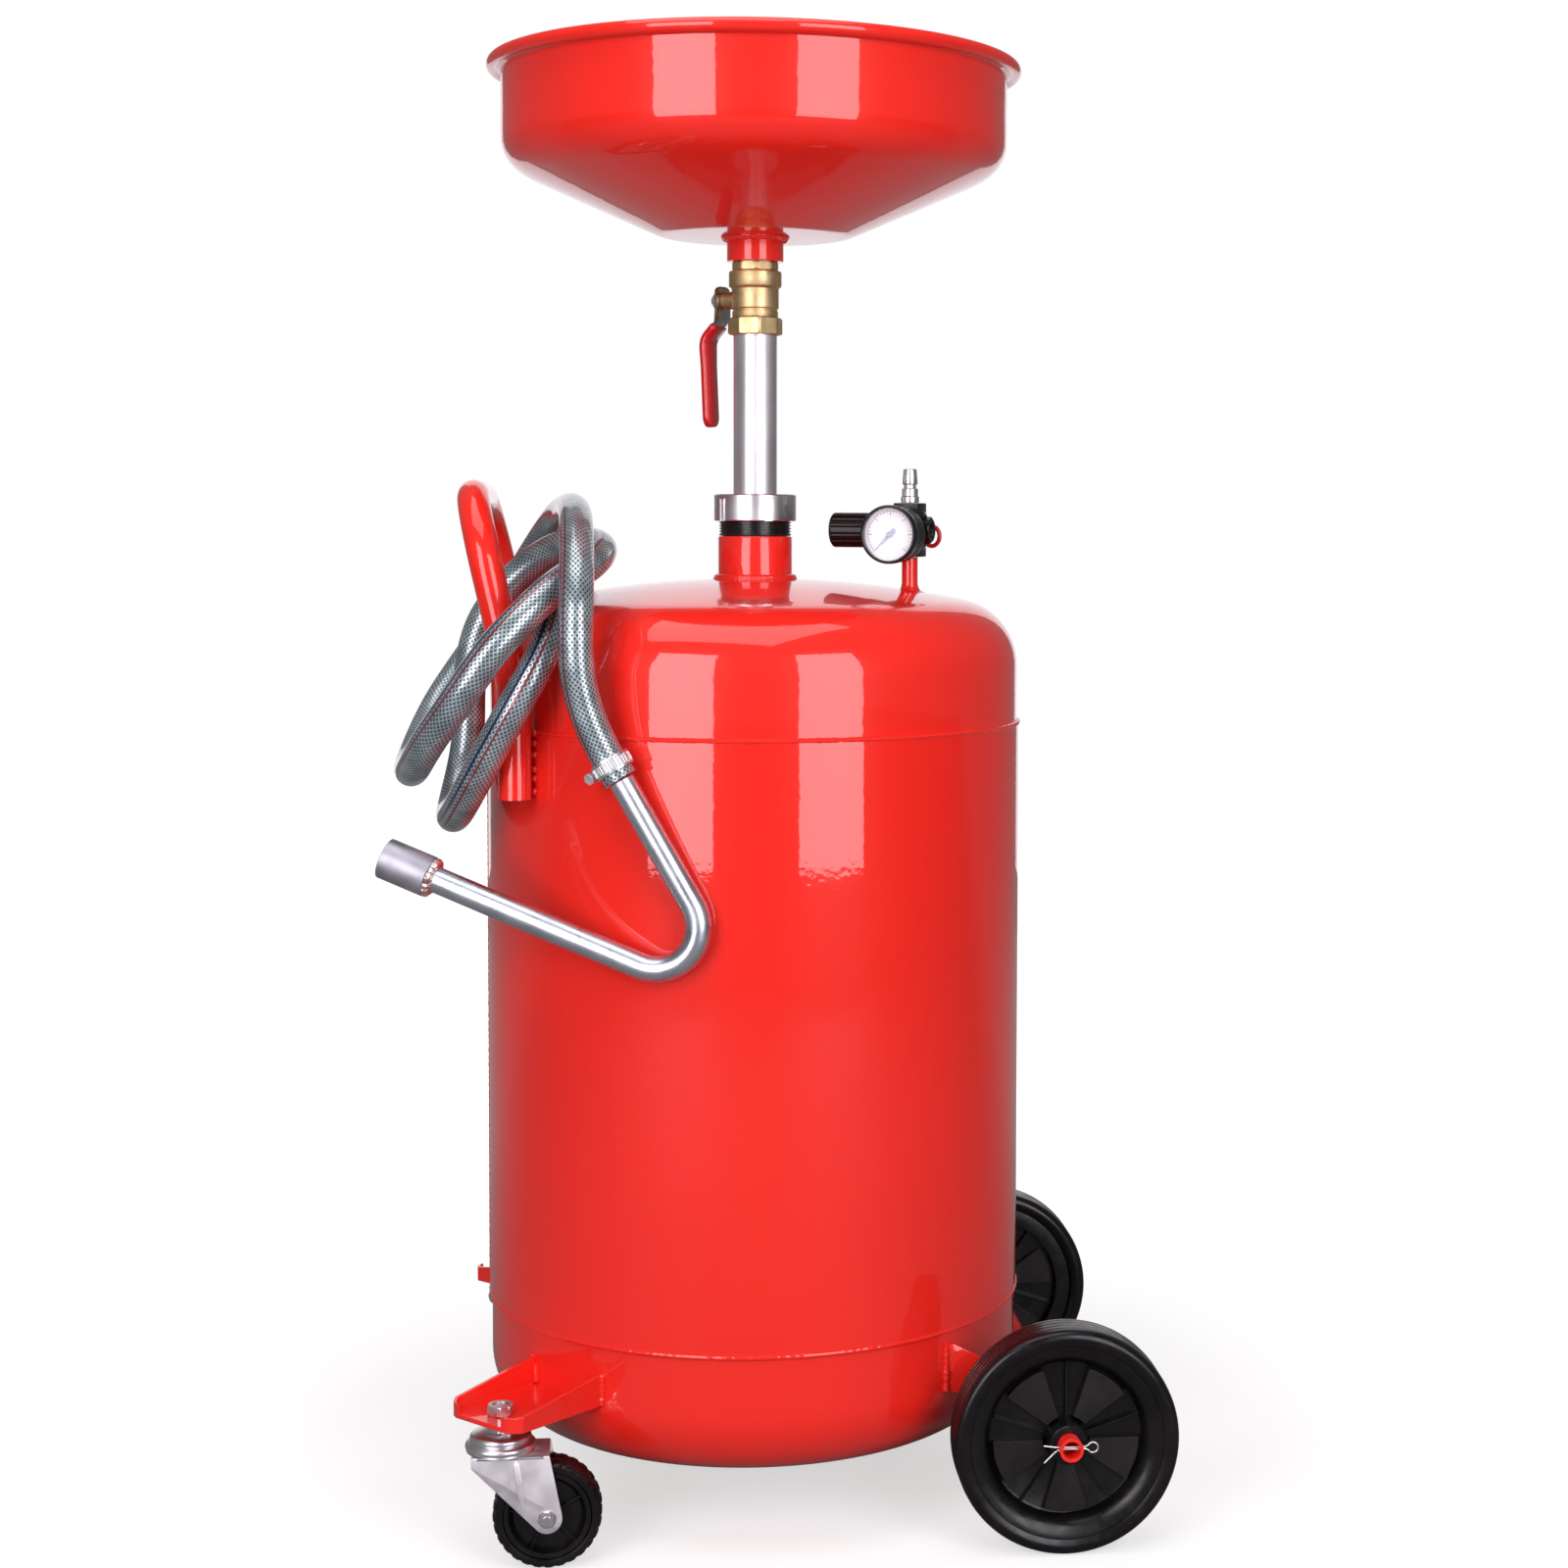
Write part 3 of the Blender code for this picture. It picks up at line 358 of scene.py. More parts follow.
# ---------------------------------------------------------------- mesh helpers
def piece(name, bm, material, body, nodes=(), place=ON_AXIS, bevel=0.0, angle=32):
    """A finished piece that rides on a CAD body and stands for the CAD nodes given."""
    bmesh.ops.recalc_face_normals(bm, faces=bm.faces)
    mesh = bpy.data.meshes.new(name)
    bm.to_mesh(mesh)
    bm.free()
    mesh.shade_smooth()
    mesh.set_sharp_from_angle(angle=math.radians(angle))
    made = add(name, mesh)
    mesh.materials.append(material)
    made.matrix_world = place
    if bevel:
        step = made.modifiers.new("edge", "BEVEL")
        step.width = bevel
        step.segments = 3
        step.limit_method = "ANGLE"
        step.angle_limit = math.radians(40)
        step.harden_normals = True
    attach(made, body)
    if nodes:
        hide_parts(*nodes)
    return made


def lathe(outline, steps=96, closed=True, shape=None):
    """Turns (radius, height) points around Z. shape(angle, r, z) may move a point."""
    bm = bmesh.new()
    rings = []
    for k in range(steps):
        angle = 2 * math.pi * k / steps
        ring = []
        for r, z in outline:
            if shape:
                r, z = shape(angle, r, z)
            ring.append(bm.verts.new((r * math.cos(angle), r * math.sin(angle), z)))
        rings.append(ring)
    count = len(outline) if closed else len(outline) - 1
    for one, two in zip(rings, rings[1:] + rings[:1]):
        for i in range(count):
            j = (i + 1) % len(outline)
            bm.faces.new((one[i], two[i], two[j], one[j]))
    if not closed:
        bmesh.ops.remove_doubles(bm, verts=bm.verts, dist=1e-7)
    return bm


def arc(centre, radius, start, end, steps):
    turns = [math.radians(start + (end - start) * i / steps) for i in range(steps + 1)]
    return [(centre[0] + radius * math.cos(a), centre[1] + radius * math.sin(a)) for a in turns]


def oblong(left, right, low, high):
    return [(left, low), (right, low), (right, high), (left, high)]


def bend(one, corner, two, t):
    """The point at t on the curve from one to two that the corner pulls on."""
    return (1 - t) ** 2 * one + 2 * t * (1 - t) * corner + t * t * two


def rounded(outline, radius, steps=3):
    """A closed outline with each sharp corner turned into a small curve."""
    made, count = [], len(outline)
    for i, point in enumerate(outline):
        here = Vector(point)
        before, after = Vector(outline[i - 1]) - here, Vector(outline[(i + 1) % count]) - here
        if before.angle(after, math.pi) > math.radians(160):
            made.append(tuple(here))
            continue
        reach = min(radius, before.length * 0.45, after.length * 0.45)
        one, two = here + before.normalized() * reach, here + after.normalized() * reach
        made += [tuple(bend(one, here, two, k / steps)) for k in range(steps + 1)]
    return made


def polygon(radius, sides, phase=0.0):
    step = 2 * math.pi / sides
    return [(radius * math.cos(phase + i * step), radius * math.sin(phase + i * step))
            for i in range(sides)]


def plate(outlines, thickness, bevel=0.0004):
    """A flat plate on local XY: the first outline is its edge, the others are holes."""
    data = bpy.data.curves.new("plate", "CURVE")
    data.dimensions = "2D"
    data.fill_mode = "BOTH"
    data.extrude = thickness / 2 - bevel
    data.bevel_depth = bevel
    data.bevel_resolution = 1
    data.offset = -bevel
    for outline in outlines:
        line = data.splines.new("POLY")
        line.points.add(len(outline) - 1)
        line.use_cyclic_u = True
        for point, (x, y) in zip(line.points, outline):
            point.co = (x, y, 0, 1)
    guide = add("plate", data)
    graph = bpy.context.evaluated_depsgraph_get()
    mesh = bpy.data.meshes.new_from_object(guide.evaluated_get(graph))
    bm = bmesh.new()
    bm.from_mesh(mesh)
    bmesh.ops.remove_doubles(bm, verts=bm.verts, dist=1e-6)
    bpy.data.objects.remove(guide)
    bpy.data.curves.remove(data)
    bpy.data.meshes.remove(mesh)
    return bm


def sweep(path, radius, sides=24, inner=0.0, caps=True, loop=False, uv=False):
    """A round tube along points. radius is a number or a function of the point's index."""
    path = [Vector(p) for p in path]
    count = len(path)
    bm = bmesh.new()
    size = radius if callable(radius) else lambda i: radius
    if loop:
        ahead = [(path[(i + 1) % count] - path[i - 1]).normalized() for i in range(count)]
    else:
        ahead = [(path[min(i + 1, count - 1)] - path[max(i - 1, 0)]).normalized()
                 for i in range(count)]
    side = ahead[0].orthogonal().normalized()
    walls = [[], []]
    for i, (point, along) in enumerate(zip(path, ahead)):
        side = (side - along * side.dot(along)).normalized()
        up = along.cross(side)
        for wall, reach in zip(walls, (size(i), inner)):
            if reach:
                wall.append([bm.verts.new(point + side * x + up * y) for x, y in polygon(reach, sides)])
    rings = walls[0] + walls[1][::-1]
    if inner or loop:
        rings.append(rings[0])
    layer = bm.loops.layers.uv.new("UVMap") if uv else None
    reached = 0.0
    for k, (one, two) in enumerate(zip(rings, rings[1:])):
        step = (path[k + 1] - path[k]).length / (2 * math.pi * size(k)) if uv else 0.0
        for j in range(sides):
            n = (j + 1) % sides
            face = bm.faces.new((one[j], one[n], two[n], two[j]))
            if uv:
                corners = ((j, 0), (j + 1, 0), (j + 1, step), (j, step))
                for corner, (u, v) in zip(face.loops, corners):
                    corner[layer].uv = (u / sides, reached + v)
        reached += step
    if caps and not inner and not loop:
        bm.faces.new(rings[0])
        bm.faces.new(rings[-1])
    return bm


def bead(path, radius, seed=0.0, ripple=0.18, sides=10, loop=False):
    """A weld bead: a tube of uneven thickness."""
    points = [Vector(p) for p in path]

    def size(i):
        wave = noise.noise(points[i] * 260 + Vector((seed, 0, 0)))
        return radius * (1 + ripple * wave + 0.5 * ripple * math.sin(i * 2.1))

    return sweep(points, size, sides, loop=loop)


def ring_path(radius, z, steps):
    return [(x, y, z) for x, y in polygon(radius, steps)]


def loft(sections):
    """A solid through sections of equally many points, with its two ends capped."""
    bm = bmesh.new()
    rings = [[bm.verts.new(point) for point in section] for section in sections]
    count = len(rings[0])
    for one, two in zip(rings, rings[1:]):
        for j in range(count):
            k = (j + 1) % count
            bm.faces.new((one[j], one[k], two[k], two[j]))
    bm.faces.new(rings[0])
    bm.faces.new(rings[-1])
    return bm


def prism(outline, low, high):
    return loft([[(x, y, z) for x, y in outline] for z in (low, high)])


def flats(angle, sides, inner):
    """How far a polygon of inner radius reaches at an angle from one of its corners."""
    half = math.pi / sides
    near = (angle + half) % (2 * half) - half
    return inner / math.cos(half - abs(near))


def flatted(outline, sides, corner_r, phase, steps=240):
    """A turned shape whose widest stretch is cut to flats; its corners stay round at corner_r."""
    inner = corner_r * math.cos(math.pi / sides)

    def shape(angle, r, z):
        return (min(r, flats(angle - phase, sides, inner)), z) if r > inner * 0.9 else (r, z)

    return lathe(outline, steps, shape=shape)


def mirrored(half):
    """An outline's lower half, then the same half mirrored at height 0."""
    return half + [(r, -z) for r, z in reversed(half)]


def keep(node, material):
    """A CAD node whose own shape is shown, in a finer material."""
    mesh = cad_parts[node].data
    mesh.materials.clear()
    mesh.materials.append(material)


# ---------------------------------------------------------------- hose and wand
HOSE_ROUTE_MM = [
    (-133, 48, 684), (-134, -24, 683), (-140, -86, 680), (-148, -133, 657), (-156, -152, 632),
    (-170, -158, 605), (-187, -150, 574), (-204, -129, 542), (-217, -97, 518), (-223, -62, 512),
    (-220, -32, 530), (-214, -17, 566), (-213, -10, 606), (-205, -8, 645), (-187, -12, 673),
    (-165, -20, 694), (-141, -36, 707), (-123, -60, 708), (-116, -90, 703), (-125, -118, 693),
    (-142, -143, 682), (-166, -165, 661), (-192, -174, 632), (-215, -167, 599), (-235, -143, 570),
    (-248, -102, 549), (-253, -54, 547), (-249, -8, 562), (-236, 32, 590), (-213, 50, 625),
    (-188, 53, 664), (-166, 39, 700), (-149, 6, 725), (-139, -42, 733), (-134, -97, 730),
    (-132, -149, 711), (-132, -187, 665), (-130, -189, 614), (-115, -187, 570), (-102, -190, 548),
]


def smooth_curve(points, fineness=12):
    """The natural cubic spline through the points."""
    size = len(points)
    steps = [(two - one).length ** 0.5 for one, two in zip(points, points[1:])]
    bends = [Vector((0, 0, 0))] * size
    ratio, right = [0.0] * size, [Vector((0, 0, 0))] * size
    for i in range(1, size - 1):
        pull = 6 * ((points[i + 1] - points[i]) / steps[i]
                    - (points[i] - points[i - 1]) / steps[i - 1])
        weight = 2 * (steps[i - 1] + steps[i]) - steps[i - 1] * ratio[i - 1]
        ratio[i] = steps[i] / weight
        right[i] = (pull - steps[i - 1] * right[i - 1]) / weight
    for i in range(size - 2, 0, -1):
        bends[i] = right[i] - ratio[i] * bends[i + 1]
    fine = []
    for i, step in enumerate(steps):
        for k in range(fineness):
            b = k / fineness
            a = 1 - b
            bend = (a ** 3 - a) * bends[i] + (b ** 3 - b) * bends[i + 1]
            fine.append(a * points[i] + b * points[i + 1] + bend * step ** 2 / 6)
    return fine + [points[-1]]


def make_hose():
    route = [TANK + Vector(p) / 1000 for p in HOSE_ROUTE_MM]
    line = smooth_curve(route)
    length = sum((b - a).length for a, b in zip(line, line[1:]))
    hose = piece("braided_hose", sweep(line, HOSE_R, 32, uv=True), HOSE, "root", ["hose"],
                 Matrix.Identity(4))
    return hose, line, length


hose, hose_line, hose_length = make_hose()

WAND_FRAME = ON_AXIS @ turn(-15, "Z") @ at(0, -(SHELL_R + WAND_R + 0.0006), 0)
WAND_HEAD = Vector((-0.049, 0, 0.5476))
WAND_DOWN = Vector((0.519, 0, -0.855)).normalized()
WAND_TAIL = Vector((-0.932, 0, 0.363)).normalized()


def along(point, direction):
    """A frame at a point with local Z along a direction."""
    return Matrix.Translation(point) @ direction.to_track_quat("Z", "Y").to_matrix().to_4x4()


def make_wand():
    centre, radius, straight = (-0.0252, 0.4477), 0.030, 0.160
    begin = math.degrees(math.atan2(-WAND_DOWN.x, WAND_DOWN.z)) + 180
    end = math.degrees(math.atan2(-WAND_TAIL.x, WAND_TAIL.z)) - 180
    elbow = [Vector((x, 0, z)) for x, z in arc(centre, radius, begin, end, 24)]
    tip = elbow[-1] + WAND_TAIL * straight
    tube = [WAND_HEAD + WAND_DOWN * 0.0006] + elbow + [tip]
    piece("wand", sweep(tube, WAND_R, 40, inner=WAND_R - 0.0016), STEEL, "root", ["wand_tube"],
          WAND_FRAME)
    socket = rounded(oblong(0.0095, 0.0145, 0.0003, 0.0350), 0.0008)
    socket_place = WAND_FRAME @ along(tip, WAND_TAIL)
    piece("wand_coupling", lathe(socket, 64), GALVANISED, "root", ["wand_socket"], socket_place)
    collar = ring_path(0.0112, -0.0012, 64)
    piece("wand_braze", bead(collar, 0.0027, 3.0, 0.34, 14, True), WELD, "root", (),
          socket_place)
    clamp_place = WAND_FRAME @ along(WAND_HEAD - WAND_DOWN * 0.012, WAND_DOWN)

    def slots(angle, r, z):
        """Worm slots pressed across the band."""
        pressed = math.sin(angle * 40) > 0.2 and abs(z) < 0.0036
        return (r - 0.0008 if pressed and r > 0.0134 else r), z

    band = mirrored([(0.0129, -0.0052), (0.0140, -0.0052), (0.0142, -0.0036), (0.0142, -0.0030)])
    piece("hose_clamp_band", lathe(band, 160, shape=slots), ZINC, "root", ["hose_clamp"],
          clamp_place)
    box = clamp_place @ turn(-60, "Z") @ at(0.0172, 0, 0) @ turn(90, "X")
    housing = rounded(oblong(-0.0030, 0.0030, -0.0036, 0.0036), 0.0015)
    piece("hose_clamp_housing", prism(housing, -0.0062, 0.0062), ZINC, "root", (), box,
          bevel=0.0005)
    piece("hose_clamp_screw", prism(polygon(0.0044, 6), 0.0063, 0.0100), PRESSED, "root", (),
          box, bevel=0.0004)


make_wand()
tuple(hose_line[0])
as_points(hose_line)


# ---------------------------------------------------------------- tank
def crown_height(radius, wall=0.0):
    """The height of the dished head's shallow crown over the seam."""
    centre = HEAD_SKIRT - math.sqrt((CROWN_R - KNUCKLE_R) ** 2 - (HEAD_R - KNUCKLE_R) ** 2)
    return centre + math.sqrt((CROWN_R - wall) ** 2 - radius ** 2)


def dome_height(radius):
    return SEAM_HIGH + crown_height(radius)


def head_face(hole, wall, steps):
    """The dished head's face from its skirt to the hole, as (radius, height over the seam)."""
    centre = (HEAD_R - KNUCKLE_R, HEAD_SKIRT)
    tangent = math.degrees(math.acos((HEAD_R - KNUCKLE_R) / (CROWN_R - KNUCKLE_R)))
    face = [(HEAD_R - wall, 0.0)] + arc(centre, KNUCKLE_R - wall, 0, tangent, steps)
    edge = face[-1][0]
    for i in range(1, steps + 1):
        radius = edge + (hole - edge) * i / steps
        face.append((radius, crown_height(radius, wall)))
    return face


def make_head(name, node, seam, up, hole):
    face = head_face(hole, 0.0, 18)
    back = head_face(hole, 0.0025, 10)
    outline = [(r, seam + up * h) for r, h in face[::-1] + back]
    piece(name, lathe(outline, 160, closed=hole > 0), RED, "root", [node], angle=40)


def make_tank():
    low, high = SEAM_LOW + 0.0006, SEAM_HIGH - 0.0006
    wall = [(SHELL_R - 0.0028, low), (SHELL_R - 0.0004, low), (SHELL_R, low + 0.0006)]
    wall += [(SHELL_R, low + (high - low) * i / 12) for i in range(1, 12)]
    wall += [(SHELL_R, high - 0.0006), (SHELL_R - 0.0004, high), (SHELL_R - 0.0028, high)]
    piece("tank_wall", lathe(wall, 192), RED, "root", ["tank_barrel"])
    make_head("tank_top", "tank_top_head", SEAM_HIGH, 1, 0.0284)
    make_head("tank_bottom", "tank_bottom_head", SEAM_LOW, -1, 0.0)
    for name, z, seed in (("high", SEAM_HIGH - 0.0004, 1.0), ("low", SEAM_LOW, 5.0)):
        ring = ring_path(SHELL_R - 0.0008, z, 640)
        piece(f"seam_weld_{name}", bead(ring, 0.0017, seed, 0.26, 10, True), RED_WELD, "root")
    rise = [Vector((0, 0, low + 0.004 + (high - low - 0.008) * i / 240)) for i in range(241)]
    piece("long_seam_weld", bead(rise, 0.0026, 9.0, 0.10, 12), RED_WELD, "root",
          place=ON_AXIS @ turn(178.5, "Z") @ at(SHELL_R - 0.0013, 0, 0))
    make_neck()


def make_neck():
    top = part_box("filler_neck")[1].z
    outline = [(0.0252, 0.672), (0.028, 0.672), (0.028, top - 0.0010), (0.0274, top), (0.0256, top)]
    piece("neck_tube", lathe(outline, 96), RED, "root", ["filler_neck"])
    seat = dome_height(0.029)
    weld, toe = ring_path(0.0287, seat + 0.0012, 200), ring_path(0.0300, seat - 0.0002, 200)
    piece("neck_weld", bead(weld, 0.0024, 2.0, 0.14, 12, True), RED_WELD, "root")
    piece("neck_weld_toe", bead(toe, 0.0017, 7.0, 0.2, 10, True), RED_WELD, "root")
    low, high = top + 0.0003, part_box("neck_thread")[1].z
    pitch, crest, root = 0.0022, 0.0274, 0.0262
    thread = [(0.0172, 0.690), (0.0245, 0.690), (0.0245, low), (crest - 0.0006, low)]
    turns = int((high - low - 0.0006) / pitch)
    for i in range(turns):
        z = low + 0.0006 + i * pitch
        thread += [(crest, z + 0.0004), (crest, z + 0.0008), (root, z + 0.0014), (root, z + 0.0019)]
    thread += [(crest - 0.0006, high), (0.0200, high), (0.0200, 0.728), (0.0172, 0.728)]
    piece("neck_threads", lathe(thread, 96), BLACK_IRON, "root", ["neck_thread"])
    keep("pipe_packing", RUBBER)
    make_lock_nut()


def make_lock_nut():
    """A cast ring nut with five spanner slots under a top flange."""
    low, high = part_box("lock_nut")
    outer, floor, half = 0.0310, 0.0284, 5.6
    slots = [20 + 72 * i for i in range(5)]

    def shape(angle, r, z):
        turned = (math.degrees(angle) - FACING) % 360
        near = min(abs((turned - slot + 180) % 360 - 180) for slot in slots)
        if near < half and r > 0.030 and z < high.z - 0.0030:
            return floor, z
        return r, z

    bore, lip = 0.0279, 0.7418
    outline = [(bore, low.z), (outer - 0.0008, low.z), (outer, low.z + 0.0008)]
    outline += [(outer, high.z - 0.0034), (outer, high.z - 0.0029), (outer, high.z - 0.0008)]
    outline += [(outer - 0.0008, high.z), (0.0173, high.z), (0.0169, high.z - 0.0004), (0.0169, lip),
                (bore, lip)]
    piece("spanner_nut", lathe(outline, 360, shape=shape), CAST, "lock_nut", ["lock_nut"])


make_tank()


# ---------------------------------------------------------------- pipe, valve, bowl
def make_pipe():
    low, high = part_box("drain_pipe")
    inner = PIPE_R - 0.0024
    outline = rounded(oblong(inner, PIPE_R, low.z, high.z), 0.0006)
    piece("slide_pipe", lathe(outline, 96), ALUMINIUM, "bowl_head", ["drain_pipe"])
    keep("pipe_stop_collar", STEEL)


def make_valve():
    phase = math.radians(-84.5)
    low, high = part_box("valve_end_nut")
    nut = [(PIPE_R + 0.0005, low.z), (0.0190, low.z), (0.0202, low.z + 0.0005), (0.0208, low.z + 0.0014),
           (0.0208, high.z - 0.0014), (0.0202, high.z - 0.0005), (0.0190, high.z), (0.009, high.z),
           (0.009, 0.8734), (PIPE_R + 0.0005, 0.8734)]
    piece("valve_hex_nut", flatted(nut, 8, 0.0208, phase), BRASS, "bowl_head", ["valve_end_nut"])
    body = [(0.0136, 0.8780), (0.0170, 0.8780), (0.0172, 0.8784), (0.0172, 0.8824)]
    body += [(0.0166, 0.8830), (0.0166, 0.8838), (0.0173, 0.8844), (0.0177, 0.8850)]
    body += [(0.0177, 0.8990)] + arc((0.0187, 0.8990), 0.0010, 180, 120, 3)
    body += [(0.0192, 0.9006), (0.0198, 0.9016), (0.0198, 0.9112), (0.0195, 0.9120), (0.0186, 0.9125)]
    body += [(0.0172, 0.9126), (0.0168, 0.9132), (0.0173, 0.9138), (0.0173, 0.9184), (0.0168, 0.9192)]
    body += [(0.0090, 0.9192), (0.0090, 0.9052), (0.0136, 0.9052)]

    def neck(angle, r, z):
        """The neck over the collar is cut to eight flats."""
        if z < 0.9130 or r < 0.016:
            return r, z
        return min(r, flats(angle, 8, 0.0164)), z

    piece("valve_brass_body", lathe(body, 192, shape=neck), BRASS, "bowl_head", ["valve_body"])
    keep("valve_ball", CHROME)
    stem_place = ON_AXIS @ at(0, 0, VALVE_Z) @ turn(146, "Z")
    reach = stem_place @ turn(90, "Y")
    gland = rounded([(0.0043, 0.0160), (0.0075, 0.0160), (0.0068, 0.0200), (0.0065, 0.0274),
                     (0.0043, 0.0274)], 0.0006)
    piece("stem_boss", lathe(gland, 64), BRASS, "bowl_head", ["valve_gland"], reach)
    shaft = [(0, 0.0134), (0.0039, 0.0134), (0.0039, 0.0360), (0.0034, 0.0368), (0, 0.0368)]
    piece("stem_shaft", lathe(shaft, 40, closed=False), BRASS, "valve_lever", ["valve_stem"],
          reach)
    nut = [(0.0042, 0.0304), (0.0052, 0.0304), (0.0060, 0.0310), (0.0060, 0.0346), (0.0052, 0.0352),
           (0.0042, 0.0352)]
    piece("stem_lock_nut", flatted(nut, 6, 0.0060, 0.0, 120), ZINC, "valve_lever", ["stem_nut"],
          reach)
    make_lever(stem_place)


# A strip's cross-section as (across its thickness, across its width), with eased edges
STRIP_SECTION = ((-1, -0.86), (-0.6, -1), (0.6, -1), (1, -0.86), (1, 0.86), (0.6, 1), (-0.6, 1), (-1, 0.86))


def bent_strip(line, width, thickness, top_round, end_round, head):
    """A strip of sheet bent along (distance, height) points, its ends rounded in plan.

    head widens each side of its top, where the strip goes round the stem."""
    path = [Vector((a, 0, z)) for a, z in line]
    lengths = [0.0]
    for one, two in zip(path, path[1:]):
        lengths.append(lengths[-1] + (two - one).length)
    sections = []
    for i, (point, s) in enumerate(zip(path, lengths)):
        ahead = (path[min(i + 1, len(path) - 1)] - path[max(i - 1, 0)]).normalized()
        out = Vector((-ahead.z, 0, ahead.x))
        full = width / 2 + head * min(1.0, max(0.0, (0.034 - s) / 0.012))
        half = full
        for distance, radius in ((s, top_round), (lengths[-1] - s, end_round)):
            if distance < radius:
                left = radius ** 2 - (radius - distance) ** 2
                half = min(half, full - radius + math.sqrt(max(left, 1e-9)))
        sections.append([point + out * (thickness / 2 * u) + Vector((0, half * v, 0))
                         for u, v in STRIP_SECTION])
    return loft(sections)


def finer(line, corner=0.006, step=0.0011):
    """More points along a bent line, with its corners rounded."""
    points = [Vector(point) for point in line]
    soft = points[:1]
    for before, here, after in zip(points, points[1:], points[2:]):
        one = here + (before - here).normalized() * corner
        two = here + (after - here).normalized() * corner
        soft += [bend(one, here, two, k / 4) for k in range(5)]
    soft.append(points[-1])
    made = []
    for one, two in zip(soft, soft[1:]):
        count = max(1, round((two - one).length / step))
        made += [one.lerp(two, k / count) for k in range(count)]
    return made + soft[-1:]


def make_lever(place):
    strip = finer([(0.0289, 0.0105), (0.0289, -0.0160), (0.0420, -0.0290), (0.0394, -0.0850)])
    piece("lever_strip", bent_strip(strip, 0.0140, 0.0025, 0.0060, 0.004, 0.0035), LEVER_STEEL,
          "valve_lever", ["valve_lever"], place, angle=40)
    sleeve = finer([(0.0315, -0.0186), (0.0420, -0.0290), (0.03895, -0.0955)])
    piece("lever_sleeve", bent_strip(sleeve, 0.0172, 0.0056, 0.0020, 0.0080, 0.0010), VINYL,
          "valve_lever", ["lever_grip"], place, angle=60)


def make_bowl():
    base, top = (corner.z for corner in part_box("bowl"))
    wall, radius, lip_r = 0.0015, 0.1888, 0.0048
    lip = (radius + 0.006, top - lip_r)
    knuckle = [(0.1660, 0.9795), (0.1725, 0.9828), (0.1782, 0.9866), (0.1828, 0.9912), (0.1862, 0.9965),
               (0.1882, 1.0022), (radius, 1.0085)]
    outer = [(0.0100, base), (0.0660, base), (0.0700, base + 0.0002), (0.0742, base + 0.0012)] + knuckle
    outer += [(radius, 1.0300), (radius, 1.0540), (radius + 0.0003, 1.0560)]
    outer += arc(lip, lip_r, -130, 100, 16)
    inner = [(radius + 0.0022, top - 0.0003), (radius + 0.0001, top - 0.0018),
             (radius - wall, top - 0.0045), (radius - wall, 1.0300)]
    inner += [(r - wall * 0.9, z + wall * 0.5) for r, z in knuckle[::-1]]
    inner += [(0.0738, base + wall + 0.0010), (0.0700, base + wall + 0.0001), (0.0660, base + wall),
              (0.0100, base + wall)]
    piece("drain_bowl", lathe(outer + inner, 192), RED, "bowl_head", ["bowl"], angle=40)
    low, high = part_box("bowl_socket")
    socket = rounded(oblong(0.0115, 0.0214, low.z, high.z), 0.0008)
    piece("bowl_neck", lathe(socket, 96), RED, "bowl_head", ["bowl_socket"])
    for name, ring, z, size in (("bowl_weld", 0.0222, base - 0.0016, 0.0022),
                                ("bowl_weld_toe", 0.0243, base - 0.0006, 0.0013)):
        piece(name, bead(ring_path(ring, z, 160), size, 4.0, 0.28, 12, True), RED_WELD, "bowl_head")
    make_strainer(base + wall)


def make_strainer(floor):
    """A perforated disc, pressed down over the drain."""
    holes = []
    for count, ring in ((6, 0.012), (12, 0.022), (18, 0.032), (24, 0.042), (30, 0.052)):
        for i in range(count):
            angle = 2 * math.pi * (i + 0.5 * (count // 6 % 2)) / count
            centre = (ring * math.cos(angle), ring * math.sin(angle))
            holes.append([(centre[0] + x, centre[1] + y) for x, y in polygon(0.0022, 12)])
    disc = plate([polygon(0.062, 120)] + holes, 0.0012, 0.0002)
    piece("strainer_disc", disc, ZINC, "bowl_head", ["bowl_strainer"],
          ON_AXIS @ at(0, 0, floor + 0.0009))
    knob = [(0, 0.0), (0.0060, 0.0), (0.0060, 0.0012), (0.0035, 0.0035), (0.0046, 0.0080),
            (0.0040, 0.0098), (0, 0.0104)]
    piece("strainer_knob", lathe(knob, 40, closed=False), ZINC, "bowl_head", (),
          ON_AXIS @ at(0, 0, floor + 0.0015))


make_pipe()
make_valve()
make_bowl()


# ---------------------------------------------------------------- handle
HANDLE_FOOT = Vector((-0.176, 0.1208, 0))


def handle_line():
    """The bar's centre line: up one leg, leaning back over its knee, across, and down the other."""
    lean = turn(-13, "Y") @ Vector((0, 0, 1))
    knee = Vector((HANDLE_FOOT.x, -HANDLE_FOOT.y, 0.609))
    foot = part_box("handle_tube")[0].z
    corner, rise, ease = 0.060, 0.077, 0.022
    leg = [Vector((knee.x, knee.y, foot + 0.056 * i / 4)) for i in range(5)]
    leg += [bend(knee - Vector((0, 0, ease)), knee, knee + lean * ease, i / 8) for i in range(1, 9)]
    leg += [knee + lean * (ease + (rise - ease) * i / 4) for i in range(1, 4)]
    leg += [knee + lean * (rise + x) + Vector((0, corner - y, 0))
            for y, x in arc((0, 0), corner, 0, 90, 18)]
    return leg + [Vector((p.x, -p.y, p.z)) for p in reversed(leg)]


